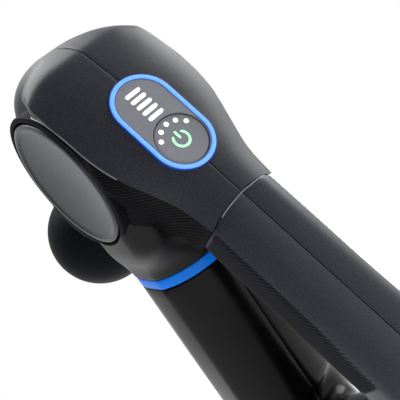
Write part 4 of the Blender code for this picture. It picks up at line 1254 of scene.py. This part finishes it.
world = bpy.data.worlds.new("white_room")
bpy.context.scene.world = world
world.use_nodes = True
tree = world.node_tree
tree.nodes.clear()
rays = add_node(tree, "ShaderNodeLightPath")
direction = add_node(tree, "ShaderNodeTexCoord").outputs["Generated"]
towards = add_node(tree, "ShaderNodeVectorMath", {0: direction, 1: DARK_SIDE}, operation="DOT_PRODUCT")
reflected = add_node(tree, "ShaderNodeMapRange", {
    "Value": towards.outputs["Value"], "From Min": -0.2, "From Max": 0.45, "To Min": 1.0, "To Max": 0.05})
white = add_node(tree, "ShaderNodeMath", operation="MAXIMUM", inputs={
    0: rays.outputs["Is Camera Ray"], 1: rays.outputs["Is Transmission Ray"]})
mirrored = add_node(tree, "ShaderNodeMix", {
    0: rays.outputs["Is Glossy Ray"], 2: ROOM_LEVEL, 3: reflected.outputs["Result"]})
level = add_node(tree, "ShaderNodeMix", {0: white.outputs[0], 2: mirrored.outputs[0], 3: 1.0})
air = add_node(tree, "ShaderNodeBackground", {"Color": (1, 1, 1, 1), "Strength": level.outputs[0]})
add_node(tree, "ShaderNodeOutputWorld", {"Surface": air.outputs[0]})
print("floor and world made")

# %% [markdown]
# ## Lamps and camera
#
# Two broad soft lamps shape the form, one at the side and one above. The camera stands behind the gun, low
# and rolled, where a fit to the photograph put it.

# %% Lamps and camera
LAMPS = (("side_lamp", (-0.2, -1.1, 0.5), 0.7, 16), ("top_lamp", (0.1, 0.0, 1.4), 1.1, 17))
CAMERA_LENS = 57.723
CAMERA_SENSOR = 36
CAMERA_PLACE = (-242.06, 112.13, -79.81)
CAMERA_TURN = (101.565, 46.904, -107.554)


def lamp(name, place, target, size, power):
    """A square soft lamp that faces a target."""
    light = bpy.data.lights.new(name, "AREA")
    light.shape = "SQUARE"
    light.size = size
    light.energy = power
    holder = bpy.data.objects.new(name, light)
    holder.location = place
    holder.rotation_euler = (Vector(target) - Vector(place)).to_track_quat("-Z", "Y").to_euler()
    bpy.context.scene.collection.objects.link(holder)
    print(name, power, "W")


for name, place, size, power in LAMPS:
    lamp(name, place, AXIS, size, power)

camera = bpy.data.cameras.new("camera")
camera.lens = CAMERA_LENS
camera.sensor_width = CAMERA_SENSOR
camera_holder = bpy.data.objects.new("camera", camera)
camera_holder.location = at(CAMERA_PLACE)
camera_holder.rotation_euler = [math.radians(angle) for angle in CAMERA_TURN]
bpy.context.scene.collection.objects.link(camera_holder)
bpy.context.scene.camera = camera_holder
